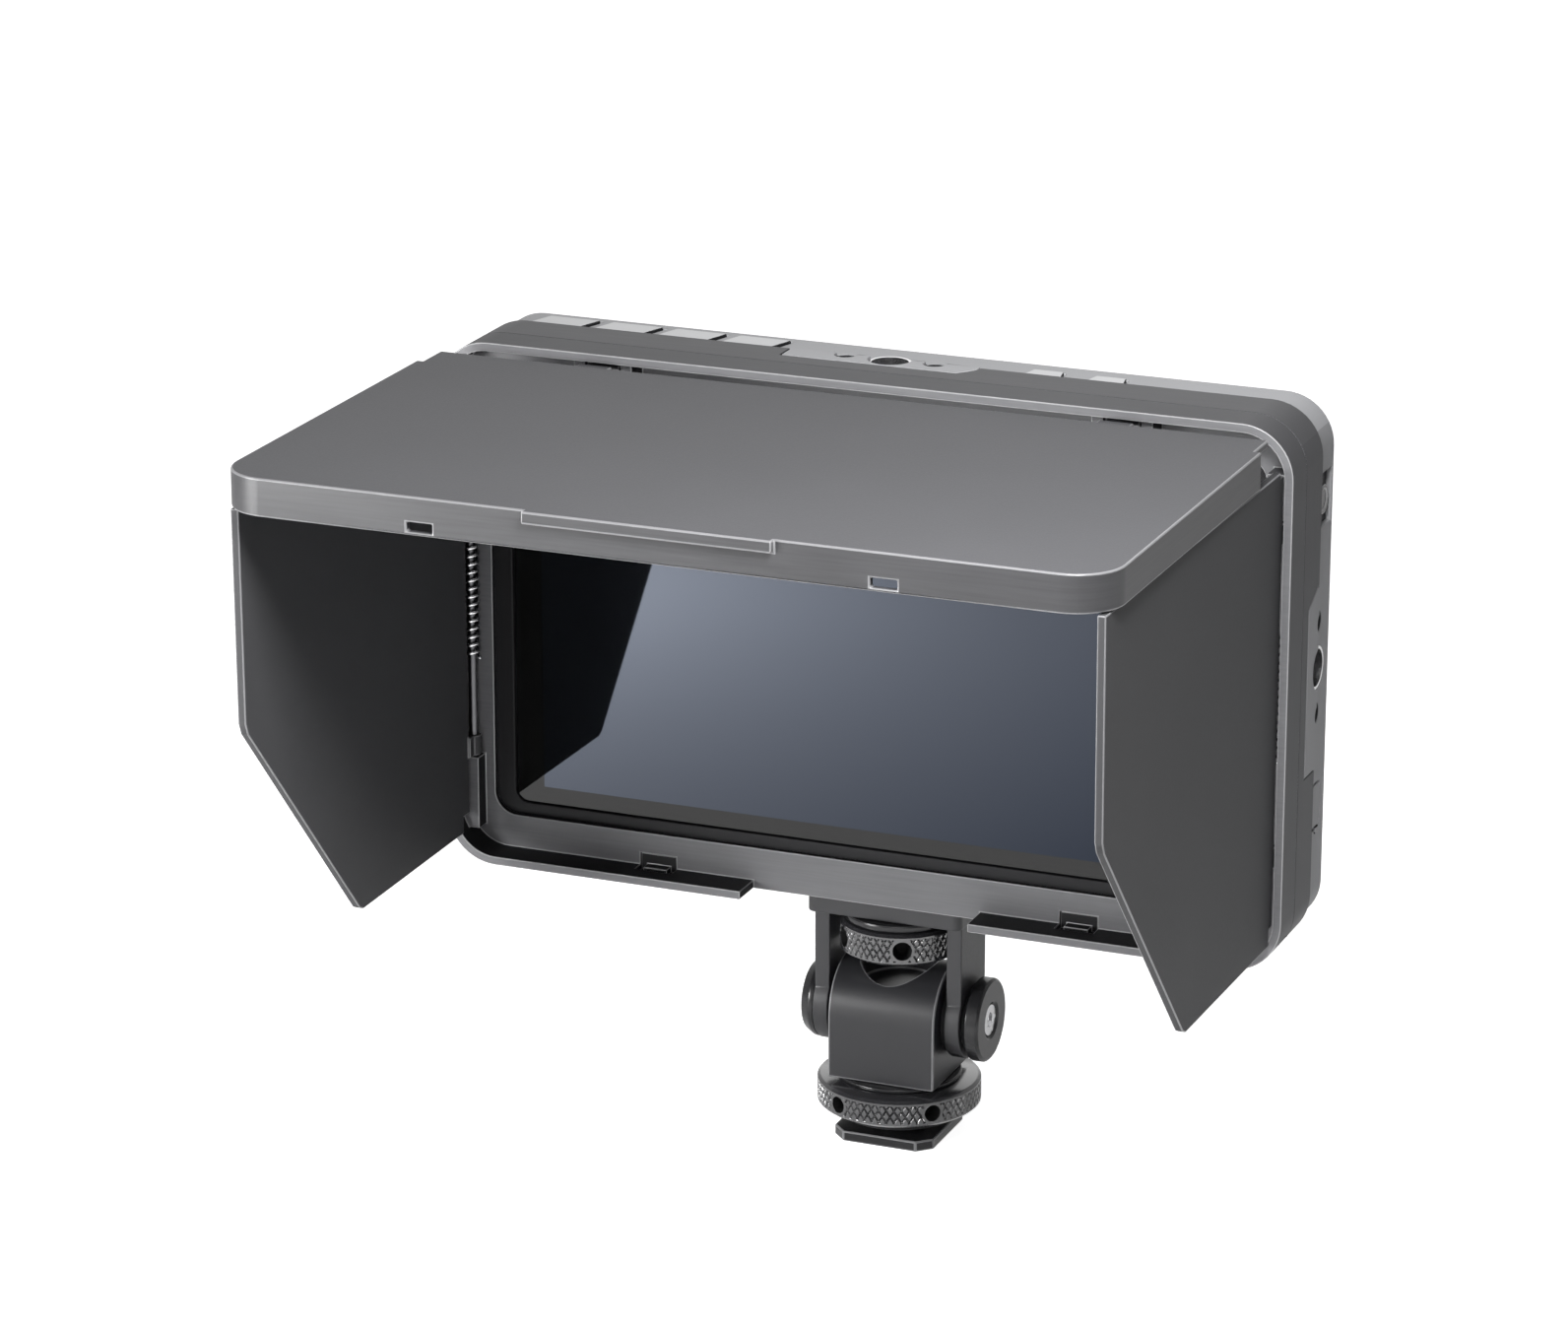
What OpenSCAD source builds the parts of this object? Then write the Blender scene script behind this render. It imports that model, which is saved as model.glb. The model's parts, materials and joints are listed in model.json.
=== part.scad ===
// Camera field monitor with a folding sun hood, on a tilting shoe mount.
// X runs right as seen from the screen side, Y runs back and Z runs up.
// The origin is the centre of the shoe foot's bottom face.

/* [Monitor body] */
// Width of the casing and of the hood frame
body_w = 152; // [140:1:170]
// Height of the casing and of the hood frame
body_h = 94; // [86:1:104]
// Height of the casing's underside above the shoe foot's bottom face
body_bottom = 47.5; // [46:0.5:56]
// Corner radius of the casing seen from the front
corner_r = 9; // [6:0.5:12]
// Wall thickness of the casings
wall = 1.8; // [1.4:0.1:2.4]
// Depth of the front casing
front_depth = 9; // [8.8:0.2:11]
// Depth of the rear casing
rear_depth = 8; // [7.6:0.2:11]
// Distance from the mount axis forward to the seam between the casings
seam_forward = 6.4; // [5.8:0.2:7]
// How far the rear casing steps in from the front casing's outline
rear_step = 0.6; // [0.3:0.1:1]

/* [Screen] */
// Width of the cover glass
glass_w = 132; // [120:1:134]
// Height of the cover glass
glass_h = 74.4; // [66:0.6:76]
// Thickness of the cover glass
glass_t = 1.1; // [0.7:0.1:1.6]
// Width of the panel behind the glass
panel_w = 126.6; // [112:0.6:128]
// Height of the panel behind the glass
panel_h = 71.4; // [62:0.6:72]

/* [Hood] */
// Depth of the hood frame's tray from its front edge to its floor
tray_depth = 6.2; // [6.2:0.1:7.4]
// Thickness of the tray's floor
tray_floor = 1.2; // [0.8:0.1:1.4]
// Thickness of the tray's rim
tray_wall = 1.5; // [1.2:0.1:1.9]
// Width of the band that the tray's floor leaves at the top and bottom
floor_band = 7.4; // [6.4:0.1:8.4]
// Depth of the lid from its rear edge to its front edge
lid_depth = 80.7; // [70:0.1:82]
// Height of the lid's rim
lid_rim = 6.3; // [5:0.1:6.4]
// Thickness of the lid's plate
lid_t = 1.3; // [1:0.1:1.6]
// Thickness of a side flap
flap_t = 1.4; // [1:0.1:1.5]
// Length of a side flap from its hinge axis to its front edge
flap_reach = 86.8; // [76:0.1:87]
// Height of a side flap at its hinge
flap_h = 81.4; // [70:0.1:81.4]
// Distance along the flap at which its bottom edge starts to rise
flap_tip = 46.2; // [36:0.1:52]
// Rise of the flap's bottom edge at its front
flap_rise = 44.4; // [30:0.1:50]
// Angle by which each open flap leans inward, in degrees
flap_toe = 0.6; // [0:0.1:1]
// Diameter of the flap hinge pins
flap_pin_d = 1.6; // [1.2:0.1:1.7]

/* [Flap springs] */
// Diameter of the spring wire
wire_d = 0.6; // [0.4:0.05:0.7]
// Number of curls in one spring
spring_curls = 15; // [10:1:20]
// Height that one curl climbs
spring_pitch = 1.45; // [1.3:0.05:1.6]
// Radius from the pin's axis to the middle of the wire
spring_r = 1.3; // [1.2:0.05:1.35]

/* [Keys and ports] */
// Length of a slanted menu key
menu_key_w = 9.3; // [7:0.1:9.6]
// Distance from one menu key to the next
menu_key_pitch = 11.8; // [11.6:0.1:11.9]
// Length of a side key on the top face
side_key_w = 5.2; // [4:0.1:8]
// Depth of every key, front to back
key_depth = 5; // [3.4:0.1:5.2]
// Travel of every key
key_travel = 0.6; // [0.4:0.1:0.8]
// Diameter of the power key
power_key_d = 5; // [4:0.1:6]
// Clearance round every key
key_gap = 0.3; // [0.2:0.05:0.4]

/* [Threads] */
// Radius of the mounting threads at their crest
thread_r = 3.2; // [3.18:0.01:3.25]
// Outer radius of a thread insert
insert_r = 3.7; // [3.5:0.05:4]
// Length of a thread insert
insert_l = 8; // [6:0.5:9]
// Distance from a mounting thread to each anti-turn hole beside it
pin_hole_offset = 8; // [7.5:0.1:9]
// Radius of the anti-turn holes
pin_hole_r = 1.9; // [1.5:0.1:2]

/* [Mount] */
// Width of the shoe foot
foot_w = 18.6; // [18:0.1:18.6]
// Length of the shoe foot
foot_l = 19.4; // [16:0.1:20]
// Thickness of the shoe foot
foot_t = 1.9; // [1.6:0.1:2]
// Radius of the lock ring
lock_ring_r = 14.4; // [12.5:0.1:15]
// Height of the lock ring
lock_ring_h = 5; // [4:0.1:5]
// Travel of the lock ring down its thread
lock_travel = 1.7; // [1:0.1:1.8]
// Radius of the foot's threaded post
post_r = 4.5; // [3.5:0.1:5.5]
// Radius of the swivel spindle
spindle_r = 3; // [2.5:0.1:3.4]
// Width of the swivel block
block_w = 19.7; // [17:0.1:20]
// Depth of the swivel block, and the diameter of its rounded top
block_d = 18.6; // [16:0.1:19]
// Height of the tilt axis above the foot's bottom face
tilt_z = 22.7; // [22:0.1:23]
// Thickness of a yoke arm
arm_t = 2.8; // [2.4:0.1:3.6]
// Depth of a yoke arm
arm_d = 12; // [10:0.1:13]
// Gap between the block and each arm, filled by a friction washer
washer_gap = 1; // [0.8:0.1:1.4]
// Thickness of the yoke's top plate
yoke_plate_t = 3.7; // [3:0.1:3.8]
// Radius of the tilt screw
tilt_screw_r = 2; // [1.6:0.1:2.5]
// Radius of the end caps
cap_r = 7.4; // [6:0.1:7.5]
// Radius of the thumbwheel
wheel_r = 10.5; // [9:0.1:10.5]
// Height of the thumbwheel
wheel_h = 5.7; // [4:0.1:5.7]
// Radius of the thumbwheel's screw
screw_r = 3.13; // [3.1:0.01:3.15]
// Radial running clearance of every turning fit
run_gap = 0.05; // [0.03:0.01:0.08]

/* [Battery plate] */
// Width of the battery that the plate holds
battery_w = 38.4; // [36:0.1:40]
// Length of the battery plate
plate_l = 66; // [58:0.5:68]
// Depth of the rear bay that carries the plate
bay_depth = 7; // [6:0.1:9]

/* [Hidden] */
$fn = 64;

skin = 0.05;            // gap between flat faces of pieces that turn on each other
seat = 0.3;             // gap between pieces that pass each other
fit = 0.04;             // radial room round a fixed screw, pin or insert
half_w = body_w / 2;
body_top = body_bottom + body_h;
mid_z = body_bottom + body_h / 2;
seam_y = -seam_forward;
front_y = seam_y - front_depth;          // front face of the front casing
rear_y = seam_y + rear_depth;            // back face of the rear casing
tray_back = front_y;
tray_floor_y = tray_back - tray_floor;   // front face of the tray's floor
tray_front = tray_floor_y - tray_depth;

// screen stack, front to back
glass_y = front_y + 0.4;
gasket_t = 0.8;
panel_t = 2.2;
backlight_t = 1.4;
chassis_t = 0.8;
gasket_y = glass_y + glass_t;
panel_y = gasket_y + gasket_t;
backlight_y = panel_y + panel_t;
chassis_y = backlight_y + backlight_t;
board_t = 1.4;
board_back_y = -5.6;
board_y = board_back_y - board_t;
board_w = 126;
board_h = 70;
chip_t = 1.2;

// hinge axes of the hood
lid_rear_y = tray_front - 5;
lid_front_y = lid_rear_y - lid_depth;
lid_top = body_top - 0.8;
lid_w = body_w - 2 * tray_wall - 0.4;
lid_axis_drop = 2.5;
lid_axis_z = lid_top - lid_axis_drop;
lid_axis_y = tray_front + 0.2 + lid_axis_drop;
lid_pin_r = 0.8;
lid_barrel_r = 1.35;
lid_tab_x = 46.2;
lid_tab_w = 6;
lid_side_rim = 1.5;
flap_plane_x = lid_w / 2 - 0.2 - flap_t / 2;   // middle of each flap's leaf
right_offset = 1.2;                            // from each pin out to its leaf
left_offset = 0.6;
right_pin_x = flap_plane_x - right_offset;
left_pin_x = flap_plane_x - left_offset;
right_axis_y = tray_front + lid_t + 0.2 + flap_t / 2 + right_offset;
left_axis_y = right_axis_y - right_offset + flap_t + 0.3 + left_offset;
flap_pin_r = flap_pin_d / 2;
flap_barrel_r = 1.35;
flap_start = 2.3;
flap_front_lean = 0.4;
flap_bottom = body_bottom + 5.2;
flap_top = flap_bottom + flap_h;
ear_low = [body_bottom + 5.1, body_bottom + 18.1];
ear_high = [body_top - 16.1, body_top - 8.5];
knuckle_l = 3.6;
latch_x = 38.6;
notch_half = 20.8;

// mount heights
washer_h = 1.6;
clamp_z = foot_t + lock_travel + seat;          // underside of the clamp washer
ring_z = clamp_z + washer_h;
disc_t = 0.85;
disc_z = ring_z + lock_ring_h + 0.1;
block_z = disc_z + disc_t + skin;
block_r = block_d / 2;
spindle_top = block_z + 5;
arm_in = block_w / 2 + washer_gap;
arm_out = arm_in + arm_t;
eye_r = 7.2;
cap_t = 1.85;
right_cap_t = 2.7;
side_washer_t = 0.8;
pad_t = 2.3;
plate_top = body_bottom - pad_t;
plate_z = plate_top - yoke_plate_t;
slip_t = 1.3;
slip_z = plate_z - 0.1 - slip_t;
wheel_z = slip_z - 0.3 - wheel_h;
screw_end_z = wheel_z - 1;
wheel_holes = 5;
wheel_turn = -67;        // one hole faces this way from +X
ring_turn = -45;
ring_hole_r = 1.5;
wheel_hole_r = 1.7;

// top and side features
top_hole_y = -6.6;
side_hole_y = -4.8;
side_hole_z = mid_z + 1.3;
tongue_top = [-18, 16];
tongue_top_y = -10.9;
tongue_side = [body_bottom + 31.1, body_bottom + 62.9];
tongue_side_y = -11.9;
tongue_slant = 2.6;
key_y = seam_y + key_gap;
menu_first_x = -half_w + 9.6;
key_rise = 0.4;
side_key_x = [half_w - 49, half_w - 38];
side_key_d = 3.2;
key_h = 3;
power_z = body_top - 17.1;
power_y = -3.1;
power_recess = [power_z - 4.5, power_z + 4.7];
recess_depth = 0.9;
port_y = -3;
video_z = [body_bottom + 36, body_bottom + 57];
video_w = 15;
video_h = 5;
video_wall = 0.3;
video_l = 13.5;
audio_z = body_bottom + 20;
audio_r = 1.78;
dc_z = body_bottom + 76;
dc_r = 2.8;
usb_z = body_bottom + 23.5;
usb_w = 6.9;
usb_h = 2.2;
cover_w = 7.6;
cover_h = 4;
cover_t = 0.7;

// rear bay and battery plate
bay_w = 60;
bay_low = body_bottom + 5;
bay_high = body_top - 10;
bay_y = rear_y + bay_depth;
boss_w = 30;
boss_h = 9.5;
plate_t = 2.2;
rail_t = 1.8;
rail_gap = 4.3;
lip_t = 1.2;
lip_w = 1;
battery_gap = 0.3;
plate_low = body_bottom + 12;
plate_y = bay_y + plate_t;
plate_half = battery_w / 2 + battery_gap + rail_t;
plate_screw_x = battery_w / 2 - 5.2;
plate_screw_z = [plate_low + 12, plate_low + plate_l - 12];
stop_h = 5;
stop_d = 3.2;
latch_w = 8;
latch_h = 3;
latch_stand = 1.6;
latch_travel = 1.2;
boss_x = 68.6;
boss_z = 39.2;
case_screw_r = 1.1;

// ---------- shared shapes ----------

// Rounded rectangle centred on the origin, of straight sides and true arcs
module round_rect(w, h, r) {
  square([w - 2 * r, h], center = true);
  square([w, h - 2 * r], center = true);
  for (sx = [-1, 1], sz = [-1, 1])
    translate([sx * (w / 2 - r), sz * (h / 2 - r)]) circle(r);
}

// Carries an X-Z outline from y0 back to y1
module slab(y0, y1) {
  translate([0, y1, 0]) rotate([90, 0, 0]) linear_extrude(y1 - y0) children();
}

// Box from its lowest to its highest corner
module span(lo, hi) { translate(lo) cube(hi - lo); }

// Outline of the casing, drawn in by inset
module body_outline(inset = 0) {
  translate([0, mid_z])
    round_rect(body_w - 2 * inset, body_h - 2 * inset, max(corner_r - inset, 1));
}

// Round bar along X
module bar_x(x0, x1, r) {
  translate([x0, 0, 0]) rotate([0, 90, 0]) cylinder(r = r, h = x1 - x0);
}

// Round bar along Y
module bar_y(y0, y1, r) {
  translate([0, y1, 0]) rotate([90, 0, 0]) cylinder(r = r, h = y1 - y0);
}

// Ring about Z with small chamfers on its rims
module wheel_ring(r, h, bore, c = 0.6) {
  rotate_extrude() polygon([[bore, 0], [r - c, 0], [r, c], [r, h - c], [r - c, h], [bore, h]]);
}

// Blind radial holes round a wheel, for a turning pin
module turning_holes(r, h, hole_r, turn, deep = 3.4) {
  for (k = [0 : wheel_holes - 1]) rotate([0, 0, turn + k * 360 / wheel_holes])
    translate([r - deep, 0, h / 2]) rotate([0, 90, 0]) cylinder(r = hole_r, h = deep + 1, $fn = 32);
}

// ---------- mount ----------

module shoe_foot() color("#1b1b1d") {
  c = 2.5;
  a = foot_w / 2;
  b = foot_l / 2;
  linear_extrude(foot_t) polygon([[-a + c, -b], [a - c, -b], [a, -b + c], [a, b - c],
    [a - c, b], [-a + c, b], [-a, b - c], [-a, -b + c]]);
  translate([0, 0, foot_t]) cylinder(r = post_r, h = disc_z - foot_t);
  translate([0, 0, disc_z]) cylinder(r = spindle_r, h = spindle_top - disc_z);
}

module swivel_disc() color("#242426") translate([0, 0, disc_z])
  wheel_ring(11, disc_t, spindle_r + fit, 0.2);

module clamp_washer() color("#161617") translate([0, 0, clamp_z])
  wheel_ring(lock_ring_r - 3.2, washer_h, post_r + run_gap, 0.2);

module lock_ring() color("#202022") translate([0, 0, ring_z + skin]) difference() {
  wheel_ring(lock_ring_r, lock_ring_h - skin, post_r + run_gap, 0.5);
  turning_holes(lock_ring_r, lock_ring_h, ring_hole_r, ring_turn);
}

// Block with a half-round top, a well for the wheel's screw and two crossing bores
module swivel_block() color("#3a3a3d") {
  well_r = 6.7;
  difference() {
    union() {
      span([-block_w / 2, -block_r, block_z], [block_w / 2, block_r, tilt_z]);
      translate([0, 0, tilt_z]) bar_x(-block_w / 2, block_w / 2, block_r);
    }
    translate([0, 0, block_z - 1])
      cylinder(r = spindle_r + run_gap, h = spindle_top - block_z + 1 + seat);
    translate([0, 0, tilt_z])
      bar_x(-block_w / 2 - 1, block_w / 2 + 1, tilt_screw_r + run_gap);
    translate([0, 0, tilt_z + 4.6]) cylinder(r = well_r, h = block_r);
  }
}

// U-shaped yoke: two arms with round eyes under a thick plate
module tilt_yoke() color("#2e2e31") {
  plate_x = arm_out + 0.6;
  plate_d = 17;
  difference() {
    union() {
      for (s = [-1, 1]) {
        x0 = s > 0 ? arm_in : -arm_out;
        span([x0, -arm_d / 2, tilt_z], [x0 + arm_t, arm_d / 2, plate_z + 1]);
        translate([0, 0, tilt_z]) bar_x(x0, x0 + arm_t, eye_r);
      }
      translate([0, 0, plate_z]) linear_extrude(yoke_plate_t)
        round_rect(2 * plate_x, plate_d, 1.5);
    }
    translate([0, 0, tilt_z]) bar_x(-arm_out - 1, arm_out + 1, tilt_screw_r + fit);
    translate([0, 0, plate_z - 1]) cylinder(r = screw_r + 0.2, h = yoke_plate_t + 2);
  }
}

module mount_pad() color("#141414") translate([0, 0, plate_top]) difference() {
  linear_extrude(pad_t) round_rect(28, 15, 3);
  translate([0, 0, -1]) cylinder(r = screw_r + 0.3, h = pad_t + 2);
}

module friction_washers() color("#101010") for (s = [-1, 1])
  translate([s * (block_w / 2 + washer_gap / 2 + skin / 2), 0, tilt_z]) rotate([0, 90, 0])
    translate([0, 0, -(washer_gap - skin) / 2])
      wheel_ring(eye_r - 0.8, washer_gap - skin, tilt_screw_r + fit, 0.15);

// Screw through both arms and the block, with a countersunk head in the right cap
module tilt_screw() color("#b9bbbd") {
  outer = arm_out + side_washer_t + right_cap_t;
  difference() {
    union() {
      translate([0, 0, tilt_z])
        bar_x(-arm_out - side_washer_t - cap_t + 0.9, outer - 1.2, tilt_screw_r);
      translate([outer - 1.2, 0, tilt_z]) rotate([0, 90, 0]) cylinder(r = 2.75, h = 0.9);
    }
    translate([outer - 1.1, 0, tilt_z]) rotate([0, 90, 0]) cylinder(r = 1.45, h = 2, $fn = 6);
  }
}

// Left cap: one domed disc that holds the screw's end
module left_cap() color("#1a1a1b") translate([-arm_out, 0, tilt_z]) rotate([0, -90, 0]) {
  total = side_washer_t + cap_t;
  rotate_extrude() polygon([[tilt_screw_r + fit, 0], [cap_r - 0.3, 0], [cap_r - 0.3, 0.9],
    [cap_r - 1.3, total - 0.1], [cap_r - 1.8, total], [0, total], [0, total - 0.9],
    [tilt_screw_r + fit, total - 0.9]]);
}

// Right cap: a washer under a dished disc, stepped like the photographed one
module right_cap() color("#1a1a1b") translate([arm_out, 0, tilt_z]) rotate([0, 90, 0]) {
  total = side_washer_t + right_cap_t;
  rotate_extrude() polygon([[tilt_screw_r + fit, 0], [cap_r - 1.2, 0], [cap_r - 1.2, 0.6],
    [cap_r - 0.6, side_washer_t], [cap_r, side_washer_t + 0.3], [cap_r, total - 0.4],
    [cap_r - 0.5, total], [3.4, total], [2.75 + fit, total - 0.6], [2.75 + fit, total - 1.2],
    [tilt_screw_r + fit, total - 1.2]]);
}

module slip_disc() color("#1d1d1f") translate([0, 0, slip_z])
  wheel_ring(wheel_r - 0.5, slip_t, screw_r + run_gap, 0.25);

module thumbwheel() color("#232325") translate([0, 0, wheel_z]) difference() {
  wheel_ring(wheel_r, wheel_h, screw_r + fit, 0.5);
  turning_holes(wheel_r, wheel_h, wheel_hole_r, wheel_turn);
}

module mount_screw() color("#8e9092")
  translate([0, 0, screw_end_z]) cylinder(r = screw_r, h = body_bottom + 5.5 - screw_end_z);

// ---------- casings ----------

// Area of the rear casing that reaches forward over the seam, grown by g
module tongues(g = 0) {
  translate([0, 0, body_top]) linear_extrude(8, center = true) polygon([
    [tongue_top[0] - g, seam_y + 1], [tongue_top[0] - g, tongue_top_y - g],
    [tongue_top[1] - tongue_slant + g, tongue_top_y - g], [tongue_top[1] + g, seam_y - 1],
    [tongue_top[1] + g, seam_y + 1]]);
  translate([half_w, 0, 0]) rotate([0, 90, 0]) linear_extrude(8, center = true) polygon([
    [-tongue_side[0] + g, seam_y + 1], [-tongue_side[0] + g, tongue_side_y - g],
    [-tongue_side[1] + tongue_slant - g, tongue_side_y - g], [-tongue_side[1] - g, seam_y - 1],
    [-tongue_side[1] - g, seam_y + 1]]);
}

// Ring of the front casing with the glass opening and four screw posts
module front_casing() color("#3d3d41") difference() {
  union() {
    difference() {
      slab(front_y, seam_y) body_outline();
      slab(front_y + 1.5, seam_y + 1) body_outline(wall);
      slab(front_y - 1, front_y + 2) translate([0, mid_z])
        round_rect(glass_w + 0.5, glass_h + 0.5, 2.5);
    }
    for (sx = [-1, 1], sz = [-1, 1]) translate([sx * boss_x, 0, mid_z + sz * boss_z])
      bar_y(front_y + 1, seam_y - 0.1, 3);
  }
  for (sx = [-1, 1], sz = [-1, 1]) translate([sx * boss_x, 0, mid_z + sz * boss_z])
    bar_y(front_y + 2.4, seam_y + 1, case_screw_r);
  tongues(0.1);
}

// Slanted hole for a menu key, from the outside down through the top wall
module menu_key_shape(k, gap, z0, z1) {
  x0 = menu_first_x + k * menu_key_pitch - gap;
  lean = 1.6;
  open = gap > 0 ? 1 : 0;
  translate([0, 0, z0]) linear_extrude(z1 - z0) polygon([
    [x0, key_y - gap - open], [x0 + menu_key_w + 2 * gap, key_y - gap - open],
    [x0 + menu_key_w + 2 * gap, key_y],
    [x0 + menu_key_w + lean + 2 * gap, key_y + key_depth + gap],
    [x0 + lean, key_y + key_depth + gap], [x0, key_y]]);
}

module side_key_shape(x, gap, z0, z1) {
  c = 0.6;
  a = side_key_w / 2 + gap;
  open = gap > 0 ? 1 : 0;
  translate([x, 0, z0]) linear_extrude(z1 - z0) polygon([
    [-a - c, key_y - gap - open], [a + c, key_y - gap - open], [a + c, key_y],
    [a, key_y + side_key_d + gap], [-a, key_y + side_key_d + gap], [-a - c, key_y]]);
}

rear_top = body_top - rear_step;
rear_side = half_w - rear_step;

// Rear shell with its bay, key holes, port holes and forward tongues
module rear_casing() color("#75767a") difference() {
  union() {
    difference() {
      slab(seam_y, rear_y) body_outline(rear_step);
      slab(seam_y - 1, rear_y - wall) body_outline(rear_step + wall);
    }
    intersection() {
      difference() {
        slab(tongue_side_y - 1, seam_y + 0.5) body_outline(0);
        slab(tongue_side_y - 2, seam_y + 2) body_outline(wall);
      }
      tongues(0);
    }
    slab(rear_y - 0.5, bay_y) translate([0, (bay_low + bay_high) / 2])
      round_rect(bay_w, bay_high - bay_low, 5);
    span([-boss_w / 2, -5, body_bottom], [boss_w / 2, bay_y, body_bottom + boss_h]);
    translate([0, top_hole_y, rear_top - insert_l - 1]) cylinder(r = insert_r + 0.4, h = insert_l);
    translate([0, side_hole_y, side_hole_z])
      bar_x(rear_side - insert_l - 1, rear_side - 0.5, insert_r + 0.4);
    for (sx = [-1, 1], sz = [-1, 1]) translate([sx * boss_x, 0, mid_z + sz * boss_z])
      bar_y(seam_y, rear_y - 1, 3);
  }
  slab(rear_y - wall - 0.1, bay_y - wall) translate([0, (bay_low + bay_high) / 2 + boss_h / 2])
    round_rect(bay_w - 2 * wall, bay_high - bay_low - 2 * wall - boss_h, 4);
  for (k = [0 : 3]) menu_key_shape(k, key_gap, rear_top - wall - 1, body_top + 1);
  for (x = side_key_x) side_key_shape(x, key_gap, rear_top - wall - 1, body_top + 1);
  translate([0, top_hole_y, rear_top - insert_l])
    cylinder(r = insert_r + fit, h = insert_l + 2);
  translate([0, side_hole_y, side_hole_z])
    bar_x(rear_side - insert_l, half_w + 1, insert_r + fit);
  translate([0, 0, body_bottom - 1]) cylinder(r = insert_r + fit, h = insert_l + 1);
  for (s = [-1, 1]) {
    translate([s * pin_hole_offset, top_hole_y, body_top - 4])
      cylinder(r = pin_hole_r, h = 6, $fn = 32);
    translate([half_w - 4, side_hole_y, side_hole_z + s * pin_hole_offset]) rotate([0, 90, 0])
      cylinder(r = pin_hole_r, h = 6, $fn = 32);
  }
  power_pocket(0);
  for (z = video_z) span([-half_w - 1, port_y - video_h / 2 - 0.1, z - video_w / 2 - 0.1],
    [-half_w + 4, port_y + video_h / 2 + 0.1, z + video_w / 2 + 0.1]);
  translate([-half_w - 1, port_y, audio_z]) rotate([0, 90, 0]) cylinder(r = 2.5, h = 5);
  translate([-half_w - 1, port_y, dc_z]) rotate([0, 90, 0]) cylinder(r = dc_r + 0.5, h = 5);
  translate([half_w - 4, port_y, usb_z]) rotate([0, 90, 0]) linear_extrude(6)
    round_rect(cover_w + 2 * seat, cover_h + 2 * seat, 1.2);
  translate([half_w - 4, port_y, body_bottom + 19.1]) rotate([0, 90, 0])
    cylinder(r = 0.5, h = 6, $fn = 24);
  for (sx = [-1, 1], sz = [-1, 1]) translate([sx * boss_x, 0, mid_z + sz * boss_z]) {
    bar_y(seam_y - 1, rear_y + 1, case_screw_r);
    bar_y(rear_y - 1.4, rear_y + 1, 2.1);
  }
  for (sx = [-1, 1], z = plate_screw_z)
    translate([sx * plate_screw_x, 0, z]) bar_y(bay_y - wall - 1, bay_y + 1, 1);
}

// Pocket in the right side that holds the power key's surround
module power_pocket(inset) {
  span([half_w - rear_step - wall - 2, seam_y + inset + 0.05, power_recess[0] + inset],
    [half_w + 1, rear_y - 1 - inset, power_recess[1] - inset]);
}

module case_screws() color("#4a4b4d") for (sx = [-1, 1], sz = [-1, 1])
  translate([sx * boss_x, 0, mid_z + sz * boss_z]) {
    bar_y(front_y + 2.8, rear_y - 1.4, case_screw_r - fit);
    difference() {
      bar_y(rear_y - 1.4, rear_y - 0.3, 2);
      translate([0, rear_y + 0.2, 0]) rotate([90, 0, 0]) cylinder(r = 0.9, h = 1, $fn = 6);
    }
  }

// ---------- screen stack and electronics ----------

module cover_glass() color("#2a2f38") slab(glass_y, gasket_y)
  translate([0, mid_z]) round_rect(glass_w, glass_h, 2.2);

module glass_gasket() color("#0d0d0d") slab(gasket_y, panel_y) difference() {
  translate([0, mid_z]) round_rect(glass_w, glass_h, 2.2);
  translate([0, mid_z]) square([glass_w - 8, glass_h - 5], center = true);
}

module lcd_panel() color("#12151a") slab(panel_y, backlight_y)
  translate([0, mid_z]) square([panel_w, panel_h], center = true);

module backlight() color("#d8d8d4") slab(backlight_y, chassis_y)
  translate([0, mid_z]) round_rect(panel_w + 2, panel_h + 2, 1);

// Sheet frame behind the backlight, with standoffs for the board
module chassis_plate() color("#a9abad") {
  slab(chassis_y, chassis_y + chassis_t) translate([0, mid_z])
    square([panel_w + 2.8, panel_h + 2.4], center = true);
  for (sx = [-1, 1], sz = [-1, 1])
    translate([sx * (board_w / 2 - 5), 0, mid_z + sz * (board_h / 2 - 5)])
      bar_y(chassis_y + chassis_t, board_y, 2.4);
}

// Printed board with its main chips on the back
module mainboard() color("#1f5a3c") {
  slab(board_y, board_back_y) translate([0, mid_z]) square([board_w, board_h], center = true);
  for (c = [[-16, -8, 14], [12, 6, 12], [30, -12, 8], [-34, 14, 8]])
    span([c[0] - c[2] / 2, board_back_y, mid_z + c[1] - c[2] / 2],
      [c[0] + c[2] / 2, board_back_y + chip_t, mid_z + c[1] + c[2] / 2]);
}

module heat_spreader() color("#8d9093")
  span([-board_w / 3, board_back_y + chip_t, mid_z - board_h * 0.34],
    [board_w / 3, board_back_y + chip_t + 1, mid_z + board_h * 0.31]);

// Narrow board under the top keys, with one switch under each key
module key_board() color("#24633f") {
  z0 = rear_top - wall - key_h - 1.9;
  difference() {
    span([menu_first_x + 1.6, key_y - 0.2, z0],
      [side_key_x[1] + 8, key_y + key_depth - 0.2, z0 + 1]);
    translate([0, top_hole_y, z0 - 1]) cylinder(r = insert_r + 1, h = 4);
  }
  for (x = [for (k = [0 : 3]) menu_foot_x(k), side_key_x[0], side_key_x[1]])
    translate([x, key_y + key_depth / 2, z0 + 1]) cylinder(r = 1.6, h = 0.6);
}

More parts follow.
